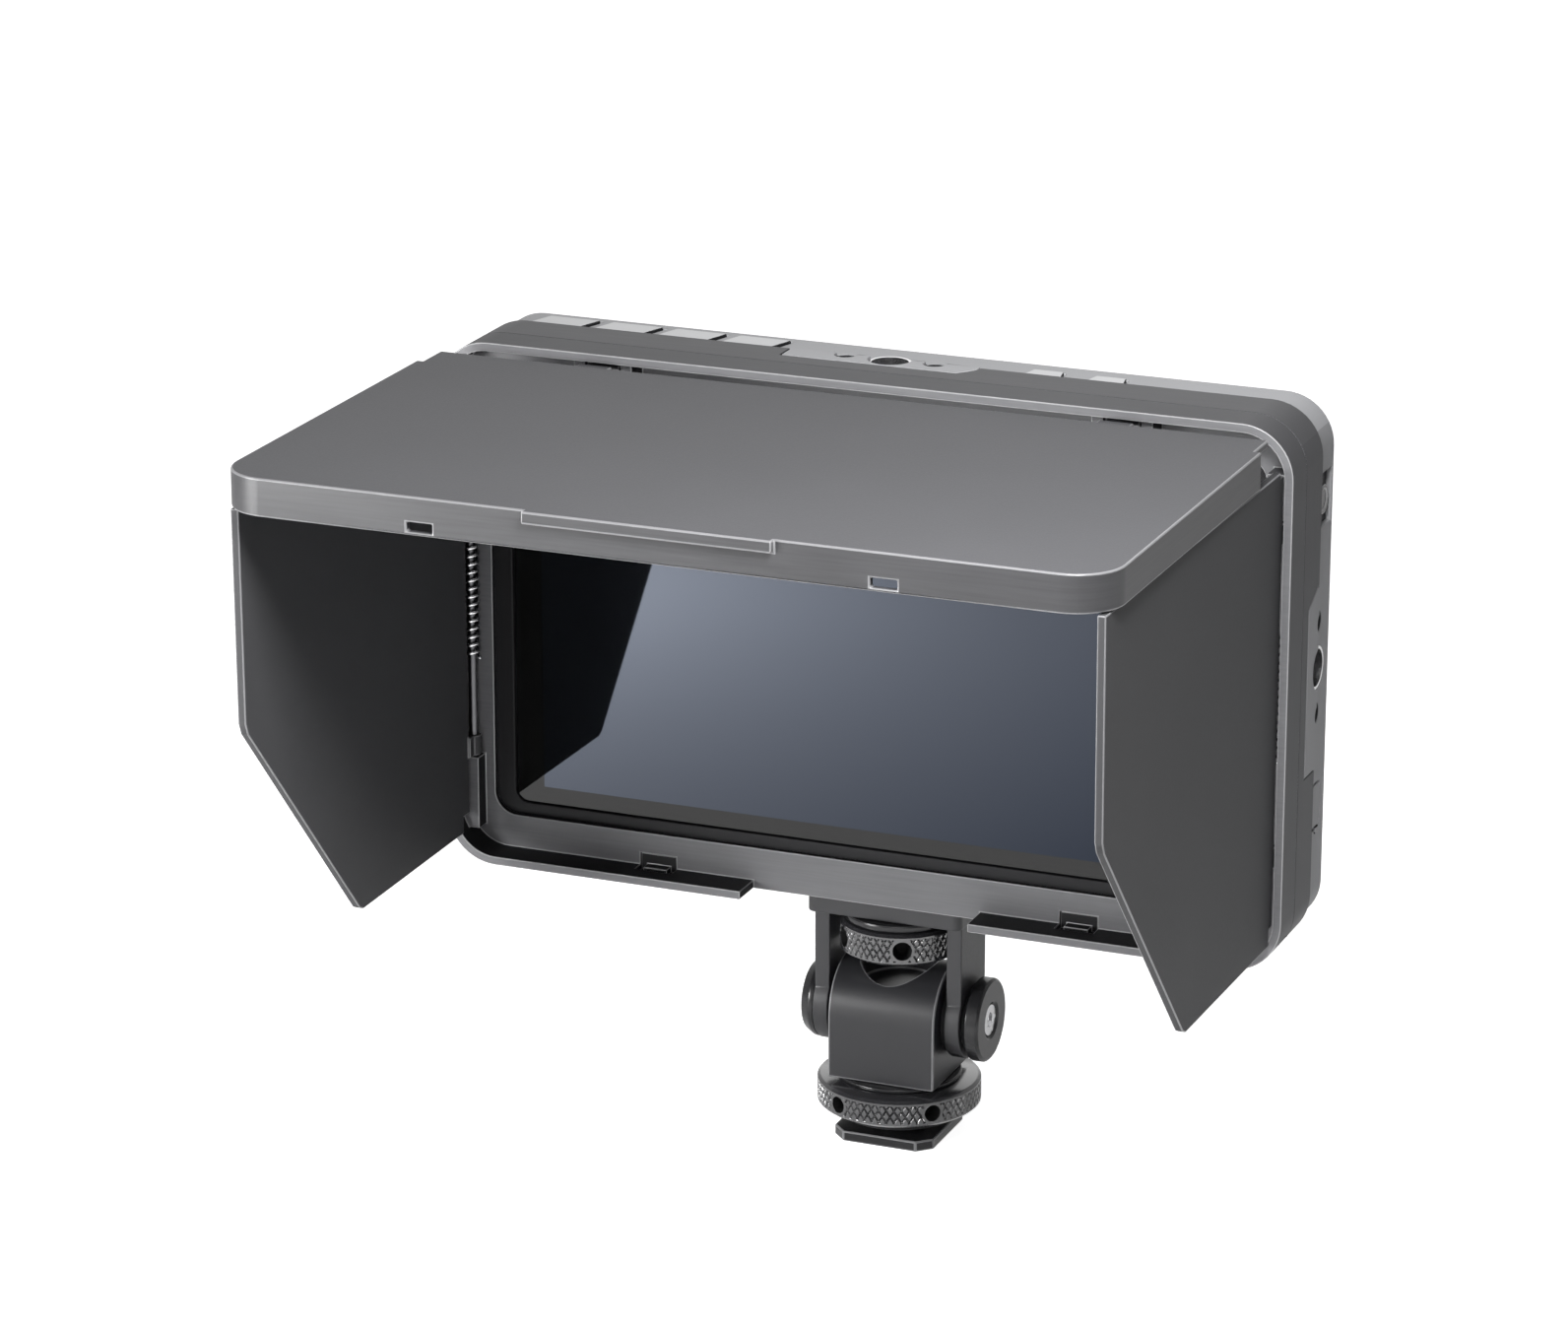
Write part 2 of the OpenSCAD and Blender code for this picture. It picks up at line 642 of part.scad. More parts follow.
module thread_inserts() color("#c3c5c7") {
  translate([0, top_hole_y, rear_top - insert_l]) difference() {
    cylinder(r = insert_r, h = insert_l);
    translate([0, 0, -1]) cylinder(r = thread_r, h = insert_l + 2);
  }
  translate([0, side_hole_y, side_hole_z]) difference() {
    bar_x(rear_side - insert_l, rear_side, insert_r);
    bar_x(rear_side - insert_l - 1, rear_side + 1, thread_r);
  }
  translate([0, 0, body_bottom]) difference() {
    cylinder(r = insert_r, h = insert_l);
    translate([0, 0, -1]) cylinder(r = thread_r, h = insert_l + 2);
  }
}

// ---------- keys and ports ----------

function menu_foot_x(k) = menu_first_x + k * menu_key_pitch + menu_key_w / 2 + 0.8;

module menu_key(k) color("#9b9c9f") {
  menu_key_shape(k, 0, rear_top - key_h, rear_top + key_rise);
  menu_key_foot(menu_foot_x(k));
}

// Rubber foot that a key presses on its switch with
module menu_key_foot(x, d = key_depth) {
  translate([x, key_y + d / 2, rear_top - key_h - 1.2]) cylinder(r = 1.4, h = 1.3);
}

module menu_key_1() menu_key(0);
module menu_key_2() menu_key(1);
module menu_key_3() menu_key(2);
module menu_key_4() menu_key(3);

module top_side_key(x) color("#9b9c9f") {
  side_key_shape(x, 0, rear_top - key_h, rear_top + key_rise);
  menu_key_foot(x, side_key_d);
}

module zoom_key() top_side_key(side_key_x[0]);
module input_key() top_side_key(side_key_x[1]);

// Dark recessed plate round the power key
module power_surround() color("#0f0f10") difference() {
  span([rear_side - wall - 1, seam_y + 0.1, power_recess[0] + 0.05],
    [rear_side - recess_depth, rear_y - 1.05, power_recess[1] - 0.05]);
  translate([0, power_y, power_z]) bar_x(half_w - 10, half_w + 1, power_key_d / 2 + key_gap);
}

module power_key() color("#1c1c1e") translate([0, power_y, power_z]) difference() {
  bar_x(rear_side - 4.2, rear_side - 0.1, power_key_d / 2);
  bar_x(rear_side - 0.3, rear_side + 1, power_key_d / 2 - 0.7);
}

// Two video sockets soldered to the board's left edge
module video_ports() color("#b4b6b8") for (z = video_z) {
  x0 = -rear_side + 0.5;
  difference() {
    span([x0, port_y - video_h / 2, z - video_w / 2],
      [x0 + video_l, port_y + video_h / 2, z + video_w / 2]);
    span([x0 - 1, port_y - video_h / 2 + video_wall, z - video_w / 2 + video_wall],
      [x0 + video_l - 1, port_y + video_h / 2 - video_wall, z + video_w / 2 - video_wall]);
  }
}

module audio_jack() color("#161616") translate([0, port_y, audio_z]) {
  x0 = -rear_side + 0.4;
  difference() {
    union() {
      bar_x(x0, x0 + 3, 2.45);
      span([x0 + 2, -2.5, -3], [x0 + 14, 2.5, 3]);
    }
    bar_x(x0 - 1, x0 + 13, audio_r);
  }
}

module power_jack() color("#161616") translate([0, port_y, dc_z]) {
  x0 = -rear_side + 0.4;
  difference() {
    union() {
      bar_x(x0, x0 + 3, dc_r + 0.4);
      span([x0 + 2, -2.5, -4.6], [x0 + 12, 2.5, 4.6]);
    }
    bar_x(x0 - 1, x0 + 2, dc_r);
    bar_x(x0 - 1, x0 + 11, 2);
  }
  bar_x(x0 + 2.5, x0 + 11.2, 0.65);
}

module usb_port() color("#b4b6b8") translate([0, port_y, usb_z]) {
  x1 = rear_side - cover_t - 0.6;
  difference() {
    span([x1 - 11.5, -1.7, -4], [x1, 1.7, 4]);
    translate([x1 - 9, 0, 0]) rotate([0, 90, 0]) linear_extrude(10)
      round_rect(usb_w, usb_h, 0.7);
  }
}

// Rubber cover of the data port, rolled round its hinge along its lower edge
module port_cover() color("#77787c") translate([rear_side - cover_t, port_y, usb_z]) {
  difference() {
    rotate([0, 90, 0]) linear_extrude(cover_t) round_rect(cover_w, cover_h, 1);
    span([-1, -cover_h, -cover_w], [cover_t + 1, cover_h, (cover_t - cover_w) / 2]);
  }
  translate([cover_t / 2, 0, (cover_t - cover_w) / 2])
    bar_y(-cover_h / 2 + 0.5, cover_h / 2 - 0.5, cover_t / 2);
}

// ---------- battery plate ----------

module battery_plate() color("#1e1e20") difference() {
  union() {
    span([-plate_half, bay_y, plate_low], [plate_half, plate_y, plate_low + plate_l]);
    for (s = [-1, 1]) {
      span([s > 0 ? plate_half - rail_t : -plate_half, bay_y, plate_low],
        [s > 0 ? plate_half : -plate_half + rail_t, plate_y + rail_gap + lip_t,
         plate_low + plate_l]);
      span([s > 0 ? plate_half - rail_t - lip_w : -plate_half, plate_y + rail_gap,
        plate_low + 8], [s > 0 ? plate_half : -plate_half + rail_t + lip_w,
        plate_y + rail_gap + lip_t, plate_low + plate_l]);
    }
    span([-plate_half, bay_y, plate_low], [plate_half, plate_y + stop_d, plate_low + stop_h]);
  }
  span([-latch_w / 2 - seat, bay_y - 1, plate_low + 1 - seat],
    [latch_w / 2 + seat, plate_y + stop_d + 1, plate_low + 1 + latch_h + seat]);
  for (sx = [-1, 1], z = plate_screw_z)
    translate([sx * plate_screw_x, 0, z]) {
      bar_y(bay_y - 1, plate_y + 1, 1);
      bar_y(plate_y - 1, plate_y + 1, 2);
    }
  for (x = [-6, 0, 6]) span([x - 1.2, plate_y - 1, plate_low + stop_h + 4],
    [x + 1.2, plate_y + 1, plate_low + stop_h + 12]);
}

module battery_contacts() color("#c9a04e") for (x = [-6, 0, 6])
  span([x - 1, plate_y - 1, plate_low + stop_h + 4.4],
    [x + 1, plate_y + 0.6, plate_low + stop_h + 11.6]);

module battery_latch() color("#8a1f1f")
  span([-latch_w / 2, bay_y + latch_travel + 0.2, plate_low + 1],
    [latch_w / 2, plate_y + stop_d + latch_stand, plate_low + 1 + latch_h]);

module plate_screws() color("#77797b")
  for (sx = [-1, 1], z = plate_screw_z)
    translate([sx * plate_screw_x, 0, z]) difference() {
      union() {
        bar_y(bay_y - wall - 0.6, plate_y - 1, 1 - fit);
        bar_y(plate_y - 1, plate_y - 0.2, 1.9);
      }
      translate([0, plate_y, 0]) rotate([90, 0, 0]) cylinder(r = 0.8, h = 0.9, $fn = 6);
    }

// ---------- hood ----------

tray_in_bottom = body_bottom + tray_wall;
floor_side = 6.4;

// Ear that carries a hinge pin: s is the side, x and y the pin's place, z its span
module flap_ear(s, x, y, z) {
  x_in = x - 1.4;
  x_out = half_w - tray_wall / 2;
  span([s > 0 ? x_in : -x_out, y - 1.3, z[0]], [s > 0 ? x_out : -x_in, tray_floor_y + 0.2, z[1]]);
}

// Tray round the screen: rim, floor band, hinge ears, latch windows and finger notch
module hood_frame() color("#454549") difference() {
  union() {
    difference() {
      slab(tray_front, tray_back) body_outline();
      slab(tray_front - 1, tray_floor_y) body_outline(tray_wall);
      slab(tray_front - 1, tray_back + 1) translate([0, mid_z])
        round_rect(body_w - 2 * floor_side, body_h - 2 * floor_band, 4);
    }
    for (z = [ear_low, ear_high]) {
      flap_ear(1, right_pin_x, right_axis_y, z);
      flap_ear(-1, left_pin_x, left_axis_y, z);
    }
    for (s = [-1, 1], e = [-1, 1]) translate([s * lid_tab_x + e * (lid_tab_w / 2 + 1.3), 0, 0])
      span([-1, lid_axis_y - 1.2, lid_axis_z - 1.2], [1, tray_floor_y + 0.2, body_top - 1]);
  }
  for (a = [[right_pin_x, right_axis_y], [-left_pin_x, left_axis_y]])
    translate([a[0], a[1], ear_low[0] + 4])
      cylinder(r = flap_pin_r + fit, h = ear_high[1] - ear_low[0] - 6);
  for (s = [-1, 1]) translate([s * lid_tab_x, lid_axis_y, lid_axis_z])
    bar_x(-lid_tab_w / 2 - 1.9, lid_tab_w / 2 + 1.9, lid_pin_r + fit);
  for (s = [-1, 1]) span([s * latch_x - 3.4, tray_floor_y - 2.4, tray_in_bottom - 1],
    [s * latch_x + 3.4, tray_back + 1, tray_in_bottom + 2.2]);
  span([-notch_half, tray_front - 1, body_bottom - 1], [notch_half, tray_floor_y, tray_in_bottom + 0.1]);
}

// Sprung catches in the tray's bottom windows
module hood_latches() color("#9a9b9e") for (s = [-1, 1]) {
  span([s * latch_x - 2.2, tray_floor_y - 1.6, tray_in_bottom - 0.9],
    [s * latch_x + 2.2, tray_back - 0.1, tray_in_bottom + 0.2]);
  span([s * latch_x - 3.35, tray_back - 0.9, tray_in_bottom - 0.9],
    [s * latch_x + 3.35, tray_back - 0.1, tray_in_bottom + 2.1]);
}

module flap_pins() color("#a7a9ab") for (a = [[right_pin_x, right_axis_y], [-left_pin_x, left_axis_y]])
  translate([a[0], a[1], ear_low[0] + 4])
    cylinder(r = flap_pin_r, h = ear_high[1] - ear_low[0] - 6);

module lid_pins() color("#a7a9ab") for (s = [-1, 1])
  translate([s * lid_tab_x, lid_axis_y, lid_axis_z])
    bar_x(-lid_tab_w / 2 - 1.9, lid_tab_w / 2 + 1.9, lid_pin_r);

// One flap with its hinge axis on Z, reaching along -Y, its leaf offset towards +X;
// inside the tray the leaf is cut back from the tray's round corners
module flap(offset, axis_y) rotate([0, 0, -flap_toe]) difference() {
  tray_edge = tray_front - axis_y - 0.4;
  union() {
    translate([offset + flap_t / 2, 0, 0]) rotate([0, -90, 0]) linear_extrude(flap_t) polygon([
      [body_bottom + 8.2, -flap_start], [body_bottom + 8.2, tray_edge],
      [flap_bottom, tray_edge], [flap_bottom, -flap_tip + 0.9],
      [flap_bottom + 0.7, -flap_tip - 0.6],
      [flap_bottom + flap_rise - 0.9, -flap_reach + flap_front_lean + 0.8],
      [flap_bottom + flap_rise + 1.1, -flap_reach + flap_front_lean], [flap_top, -flap_reach],
      [flap_top, tray_edge], [min(flap_top, body_top - 8.2), tray_edge],
      [min(flap_top, body_top - 8.2), -flap_start]]);
    for (z = [ear_low[1] + 0.3, ear_high[0] - 0.3 - knuckle_l]) translate([0, 0, z]) {
      cylinder(r = flap_barrel_r, h = knuckle_l);
      span([-0.6, -flap_start - 0.5, 0], [offset + flap_t / 2, -0.3, knuckle_l]);
    }
  }
  translate([0, 0, flap_bottom]) cylinder(r = flap_pin_r + run_gap, h = flap_h);
}

module right_flap() color("#3f4043")
  translate([right_pin_x, right_axis_y, 0]) flap(right_offset, right_axis_y);
module left_flap() color("#3f4043")
  translate([-left_pin_x, left_axis_y, 0]) mirror([1, 0, 0])
    flap(left_offset, left_axis_y);

// Lid: plate, rim on three sides, finger lip, catch slots, rear notches and hinge tabs
module lid() color("#5b5c60") {
  front_r = 8;
  slot_z = lid_top - 5;
  cy = (lid_front_y + lid_rear_y) / 2;
  difference() {
    union() {
      difference() {
        lid_block(0, lid_top - lid_rim, lid_top);
        difference() {
          lid_block(lid_side_rim, lid_top - lid_rim - 1, lid_top - lid_t);
          span([-lid_w, lid_rear_y - 0.2, lid_top - 20], [lid_w, 0, lid_top + 1]);
        }
        span([-lid_w / 2 + lid_side_rim, lid_rear_y - 1, lid_top - lid_rim - 1],
          [lid_w / 2 - lid_side_rim, lid_rear_y + 1, lid_top - lid_t]);
      }
      span([-notch_half, lid_front_y - 1, lid_top - 2], [notch_half, lid_front_y + 1, lid_top]);
      for (s = [-1, 1]) {
        span([s * lid_tab_x - lid_tab_w / 2, lid_rear_y - 3, lid_axis_z - 1],
          [s * lid_tab_x + lid_tab_w / 2, lid_rear_y + 0.1, lid_top - lid_t]);
        span([s * lid_tab_x - lid_tab_w / 2, lid_rear_y - 3, lid_axis_z - 1],
          [s * lid_tab_x + lid_tab_w / 2, lid_axis_y, lid_axis_z + 0.6]);
        span([s * lid_tab_x - lid_tab_w / 2, lid_rear_y - 0.5, lid_axis_z - 1],
          [s * lid_tab_x + lid_tab_w / 2, tray_front - 1.2, lid_top - 0.7]);
        translate([s * lid_tab_x, lid_axis_y, lid_axis_z])
          bar_x(-lid_tab_w / 2, lid_tab_w / 2, lid_barrel_r);
      }
    }
    for (s = [-1, 1]) {
      span([s * latch_x - 2.2, lid_front_y - 1, slot_z - 0.8],
        [s * latch_x + 2.2, lid_front_y + 3, slot_z + 0.8]);
      span([s > 0 ? lid_w / 2 - 3 : -lid_w / 2 - 1, lid_rear_y - 7, lid_top - lid_rim - 1],
        [s > 0 ? lid_w / 2 + 1 : -lid_w / 2 + 3, lid_rear_y + 1, lid_top - lid_t]);
      span([s > 0 ? lid_w / 2 - 1.1 : -lid_w / 2 - 1, lid_rear_y - 7, lid_top - lid_rim - 1],
        [s > 0 ? lid_w / 2 + 1 : -lid_w / 2 + 1.1, lid_rear_y + 1, lid_top + 1]);
      translate([s * lid_tab_x, lid_axis_y, lid_axis_z])
        bar_x(-lid_tab_w / 2 - 1, lid_tab_w / 2 + 1, lid_pin_r + run_gap);
    }
  }
}

// Plan of the lid with its two round front corners, drawn in by inset, from z0 to z1
module lid_block(inset, z0, z1) {
  r = 8 - inset;
  a = lid_w / 2 - inset;
  f = lid_front_y + inset;
  translate([0, 0, z0]) linear_extrude(z1 - z0) {
    translate([-a, f + r]) square([2 * a, lid_rear_y - f - r]);
    translate([-a + r, f]) square([2 * a - 2 * r, r + 1]);
    for (s = [-1, 1]) translate([s * (a - r), f + r]) circle(r);
  }
}

// ---------- springs ----------

spring_low = body_bottom + 36;
ring_steps = 8;
ring_sides = 6;
spring_steps = spring_curls * ring_steps;

// Point of the wire's middle at step i; the ends run straight for one wire diameter
function wire_point(i) =
  i < 0 ? wire_point(0) - wire_d * wire_way(0)
  : i > spring_steps ? wire_point(spring_steps) + wire_d * wire_way(spring_steps)
  : [spring_r * cos(360 * i / ring_steps), spring_r * sin(360 * i / ring_steps),
     spring_pitch * i / ring_steps];

// Direction of the wire at step i
function wire_way(i) =
  let (a = 360 * min(max(i, 0), spring_steps) / ring_steps,
       v = [-sin(a) * 2 * PI * spring_r, cos(a) * 2 * PI * spring_r, spring_pitch])
  v / norm(v);

// Ring of points round the wire at step i
function wire_ring(i) =
  let (p = wire_point(i), w = wire_way(i),
       a = 360 * min(max(i, 0), spring_steps) / ring_steps,
       u = [cos(a), sin(a), 0], v = cross(w, u))
  [for (k = [0 : ring_sides - 1])
    p + wire_d / 2 * (cos(360 * k / ring_sides) * u + sin(360 * k / ring_sides) * v)];

spring_points = [for (i = [-1 : spring_steps + 1]) each wire_ring(i)];
ring_count = spring_steps + 3;

spring_faces = concat(
  [for (i = [0 : ring_count - 2], k = [0 : ring_sides - 1], t = [0, 1])
    let (a = i * ring_sides + k, b = i * ring_sides + (k + 1) % ring_sides,
         c = a + ring_sides, d = b + ring_sides)
    t == 0 ? [a, c, b] : [b, c, d]],
  [for (k = [1 : ring_sides - 2]) [0, k, k + 1]],
  [for (k = [1 : ring_sides - 2])
    let (o = (ring_count - 1) * ring_sides) [o, o + k + 1, o + k]]);

// Least distance between points of the wire's surface one curl apart
spring_gap = min([for (i = [0 : ring_sides * ring_steps : len(spring_points) - 1 - 7 * ring_sides * ring_steps / 4],
  k = [0 : ring_sides - 1], m = [-2 : 2], n = [0 : ring_sides - 1])
  norm(spring_points[i + k] - spring_points[i + (ring_steps + m) * ring_sides + n])]);
echo(spring_gap = spring_gap);

module coil() polyhedron(points = spring_points, faces = spring_faces, convexity = 10);

module left_spring() color("#b6b8ba") translate([-left_pin_x, left_axis_y, spring_low]) coil();
module right_spring() color("#b6b8ba") translate([right_pin_x, right_axis_y, spring_low]) coil();

shoe_foot();
swivel_disc();
clamp_washer();
lock_ring();
swivel_block();
tilt_yoke();
mount_pad();
friction_washers();
tilt_screw();
left_cap();
right_cap();
slip_disc();
thumbwheel();
mount_screw();
front_casing();
rear_casing();
case_screws();
cover_glass();
glass_gasket();
lcd_panel();
backlight();
chassis_plate();
mainboard();
heat_spreader();
key_board();
thread_inserts();
menu_key_1();
menu_key_2();
menu_key_3();
menu_key_4();
zoom_key();
input_key();
power_surround();
power_key();
video_ports();
audio_jack();
power_jack();
usb_port();
port_cover();
battery_plate();
battery_contacts();
battery_latch();
plate_screws();
hood_frame();
hood_latches();
flap_pins();
lid_pins();
left_spring();
right_spring();
left_flap();
right_flap();
lid();
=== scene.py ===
"""Looks of the camera field monitor with its sun hood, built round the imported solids.

Metres, +X right seen from the screen side, +Y back, +Z up; the screen faces -Y.
"""

import json
import math

import bmesh
import bpy
import numpy as np
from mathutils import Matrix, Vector


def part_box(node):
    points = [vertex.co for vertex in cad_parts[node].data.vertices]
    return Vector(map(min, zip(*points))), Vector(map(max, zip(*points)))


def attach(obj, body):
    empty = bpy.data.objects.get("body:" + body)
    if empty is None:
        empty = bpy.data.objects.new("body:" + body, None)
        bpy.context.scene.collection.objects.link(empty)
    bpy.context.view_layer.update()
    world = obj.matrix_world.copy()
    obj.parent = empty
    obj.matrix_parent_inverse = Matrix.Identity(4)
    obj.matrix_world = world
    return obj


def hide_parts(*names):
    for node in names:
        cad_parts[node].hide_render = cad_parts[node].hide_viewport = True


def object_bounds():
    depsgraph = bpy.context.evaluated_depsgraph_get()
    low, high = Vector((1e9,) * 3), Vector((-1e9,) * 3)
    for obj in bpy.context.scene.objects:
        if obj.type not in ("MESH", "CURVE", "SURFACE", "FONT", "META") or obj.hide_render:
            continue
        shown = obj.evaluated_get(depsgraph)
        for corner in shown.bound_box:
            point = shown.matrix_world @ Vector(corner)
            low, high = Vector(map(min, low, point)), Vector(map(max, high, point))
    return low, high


MM = 0.001
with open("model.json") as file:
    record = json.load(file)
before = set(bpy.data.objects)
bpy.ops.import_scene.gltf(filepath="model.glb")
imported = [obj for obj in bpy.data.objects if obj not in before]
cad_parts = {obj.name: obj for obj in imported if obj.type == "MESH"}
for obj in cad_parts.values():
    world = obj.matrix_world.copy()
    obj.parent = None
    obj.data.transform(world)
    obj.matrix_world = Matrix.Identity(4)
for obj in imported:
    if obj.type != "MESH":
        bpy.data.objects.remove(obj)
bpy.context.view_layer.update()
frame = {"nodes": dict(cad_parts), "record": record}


# ---------------------------------------------------------------- node groups


def socket(tree, name, kind, way, value=None):
    """Adds one named socket to a node group's interface."""
    made = tree.interface.new_socket(name=name, in_out=way, socket_type=kind)
    if value is not None:
        made.default_value = value


def link(tree, a, out_name, b, in_name):
    """Joins an output of node a to an input of node b, by name among the sockets in use."""
    source = next(s for s in a.outputs if s.name == out_name and s.enabled)
    target = next(s for s in b.inputs if s.name == in_name and s.enabled)
    tree.links.new(source, target)


def math_node(tree, operation, a=None, b=None):
    """A Math node whose inputs are numbers or (node, socket name) pairs."""
    made = tree.nodes.new("ShaderNodeMath")
    made.operation = operation
    for place, value in enumerate((a, b)):
        if isinstance(value, tuple):
            tree.links.new(value[0].outputs[value[1]], made.inputs[place])
        elif value is not None:
            made.inputs[place].default_value = value
    return made


CLOUD_SCALE = 38


def grain_group():
    """Moulded or blasted grain.

    Soft clouds and fine noise together shift the colour, and the fine noise alone gives
    the height and shifts the roughness."""
    tree = bpy.data.node_groups.new("surface_grain", "ShaderNodeTree")
    socket(tree, "Color", "NodeSocketColor", "INPUT", (0.1, 0.1, 0.1, 1))
    socket(tree, "Scale", "NodeSocketFloat", "INPUT", 2500.0)
    socket(tree, "Clouds", "NodeSocketFloat", "INPUT", 0.08)
    socket(tree, "Rough", "NodeSocketFloat", "INPUT", 0.5)
    socket(tree, "Rough Spread", "NodeSocketFloat", "INPUT", 0.1)
    socket(tree, "Stretch", "NodeSocketVector", "INPUT", (1, 1, 1))
    socket(tree, "Color", "NodeSocketColor", "OUTPUT")
    socket(tree, "Roughness", "NodeSocketFloat", "OUTPUT")
    socket(tree, "Height", "NodeSocketFloat", "OUTPUT")
    put = tree.nodes.new("NodeGroupInput")
    out = tree.nodes.new("NodeGroupOutput")
    place = tree.nodes.new("ShaderNodeTexCoord")
    pull = tree.nodes.new("ShaderNodeVectorMath")
    pull.operation = "MULTIPLY"
    tree.links.new(place.outputs["Object"], pull.inputs[0])
    tree.links.new(put.outputs["Stretch"], pull.inputs[1])
    fine = tree.nodes.new("ShaderNodeTexNoise")
    fine.inputs["Detail"].default_value = 3
    clouds = tree.nodes.new("ShaderNodeTexNoise")
    clouds.inputs["Scale"].default_value = CLOUD_SCALE
    clouds.inputs["Detail"].default_value = 2
    tree.links.new(pull.outputs[0], fine.inputs["Vector"])
    tree.links.new(place.outputs["Object"], clouds.inputs["Vector"])
    link(tree, put, "Scale", fine, "Scale")
    both = math_node(tree, "ADD", (clouds, "Fac"), (fine, "Fac"))
    centred = math_node(tree, "SUBTRACT", (both, "Value"), 1.0)
    spread = math_node(tree, "MULTIPLY", (centred, "Value"), (put, "Clouds"))
    gain = math_node(tree, "ADD", (spread, "Value"), 1.0)
    tint = tree.nodes.new("ShaderNodeVectorMath")
    tint.operation = "SCALE"
    tree.links.new(put.outputs["Color"], tint.inputs[0])
    tree.links.new(gain.outputs[0], tint.inputs["Scale"])
    tree.links.new(tint.outputs[0], out.inputs["Color"])
    off = math_node(tree, "SUBTRACT", (fine, "Fac"), 0.5)
    step = math_node(tree, "MULTIPLY", (off, "Value"), (put, "Rough Spread"))
    rough = math_node(tree, "ADD", (step, "Value"), (put, "Rough"))
    tree.links.new(rough.outputs[0], out.inputs["Roughness"])
    tree.links.new(fine.outputs["Fac"], out.inputs["Height"])
    return tree


GRAIN = grain_group()


def finish(name, color, rough, scale=2500, clouds=0.1, spread=0.12, bump=0.15, depth=0.02,
           stretch=(1, 1, 1), metallic=0.0, level=0.5, coat=0.0, coat_rough=0.1):
    """A material whose colour, roughness and bump come from the shared grain group.

    The grain's scale is in cycles per metre and its depth in millimetres; clouds and spread
    say how far it shifts the colour and the roughness, and a low stretch draws it out."""
    made = bpy.data.materials.new(name)
    made.use_nodes = True
    tree = made.node_tree
    shader = tree.nodes["Principled BSDF"]
    grain = tree.nodes.new("ShaderNodeGroup")
    grain.node_tree = GRAIN
    grain.inputs["Color"].default_value = (*color, 1)
    grain.inputs["Scale"].default_value = scale
    grain.inputs["Clouds"].default_value = clouds
    grain.inputs["Rough"].default_value = rough
    grain.inputs["Rough Spread"].default_value = spread
    grain.inputs["Stretch"].default_value = stretch
    link(tree, grain, "Color", shader, "Base Color")
    link(tree, grain, "Roughness", shader, "Roughness")
    if bump:
        press = tree.nodes.new("ShaderNodeBump")
        press.inputs["Strength"].default_value = bump
        press.inputs["Distance"].default_value = depth * MM
        link(tree, grain, "Height", press, "Height")
        link(tree, press, "Normal", shader, "Normal")
    shader.inputs["Metallic"].default_value = metallic
    shader.inputs["Specular IOR Level"].default_value = level
    if coat:
        shader.inputs["Coat Weight"].default_value = coat
        shader.inputs["Coat Roughness"].default_value = coat_rough
    return made


ACTIVE_W = 121.8  # the panel's picture, in millimetres
ACTIVE_H = 68.5
# The film's two tones are painted reflection: light for the mirrored open floor, dark for mirrored
# shade.
FILM_PAINTED_DARK_REFLECTION = (0.013, 0.016, 0.023, 1)
FILM_PAINTED_LIGHT_REFLECTION = (0.076, 0.083, 0.099, 1)
BORDER_BLACK = (0.003, 0.003, 0.003, 1)
PAINTED_REFLECTION_SLOPE = 0.25  # change of the painted reflection's tone from the middle to an edge
GLASS_ROUGH = 0.015
SMEAR_ROUGH = 0.02  # added where the clouds are brightest
SMEAR_SCALE = 14
GLASS_LEVEL = 0.3


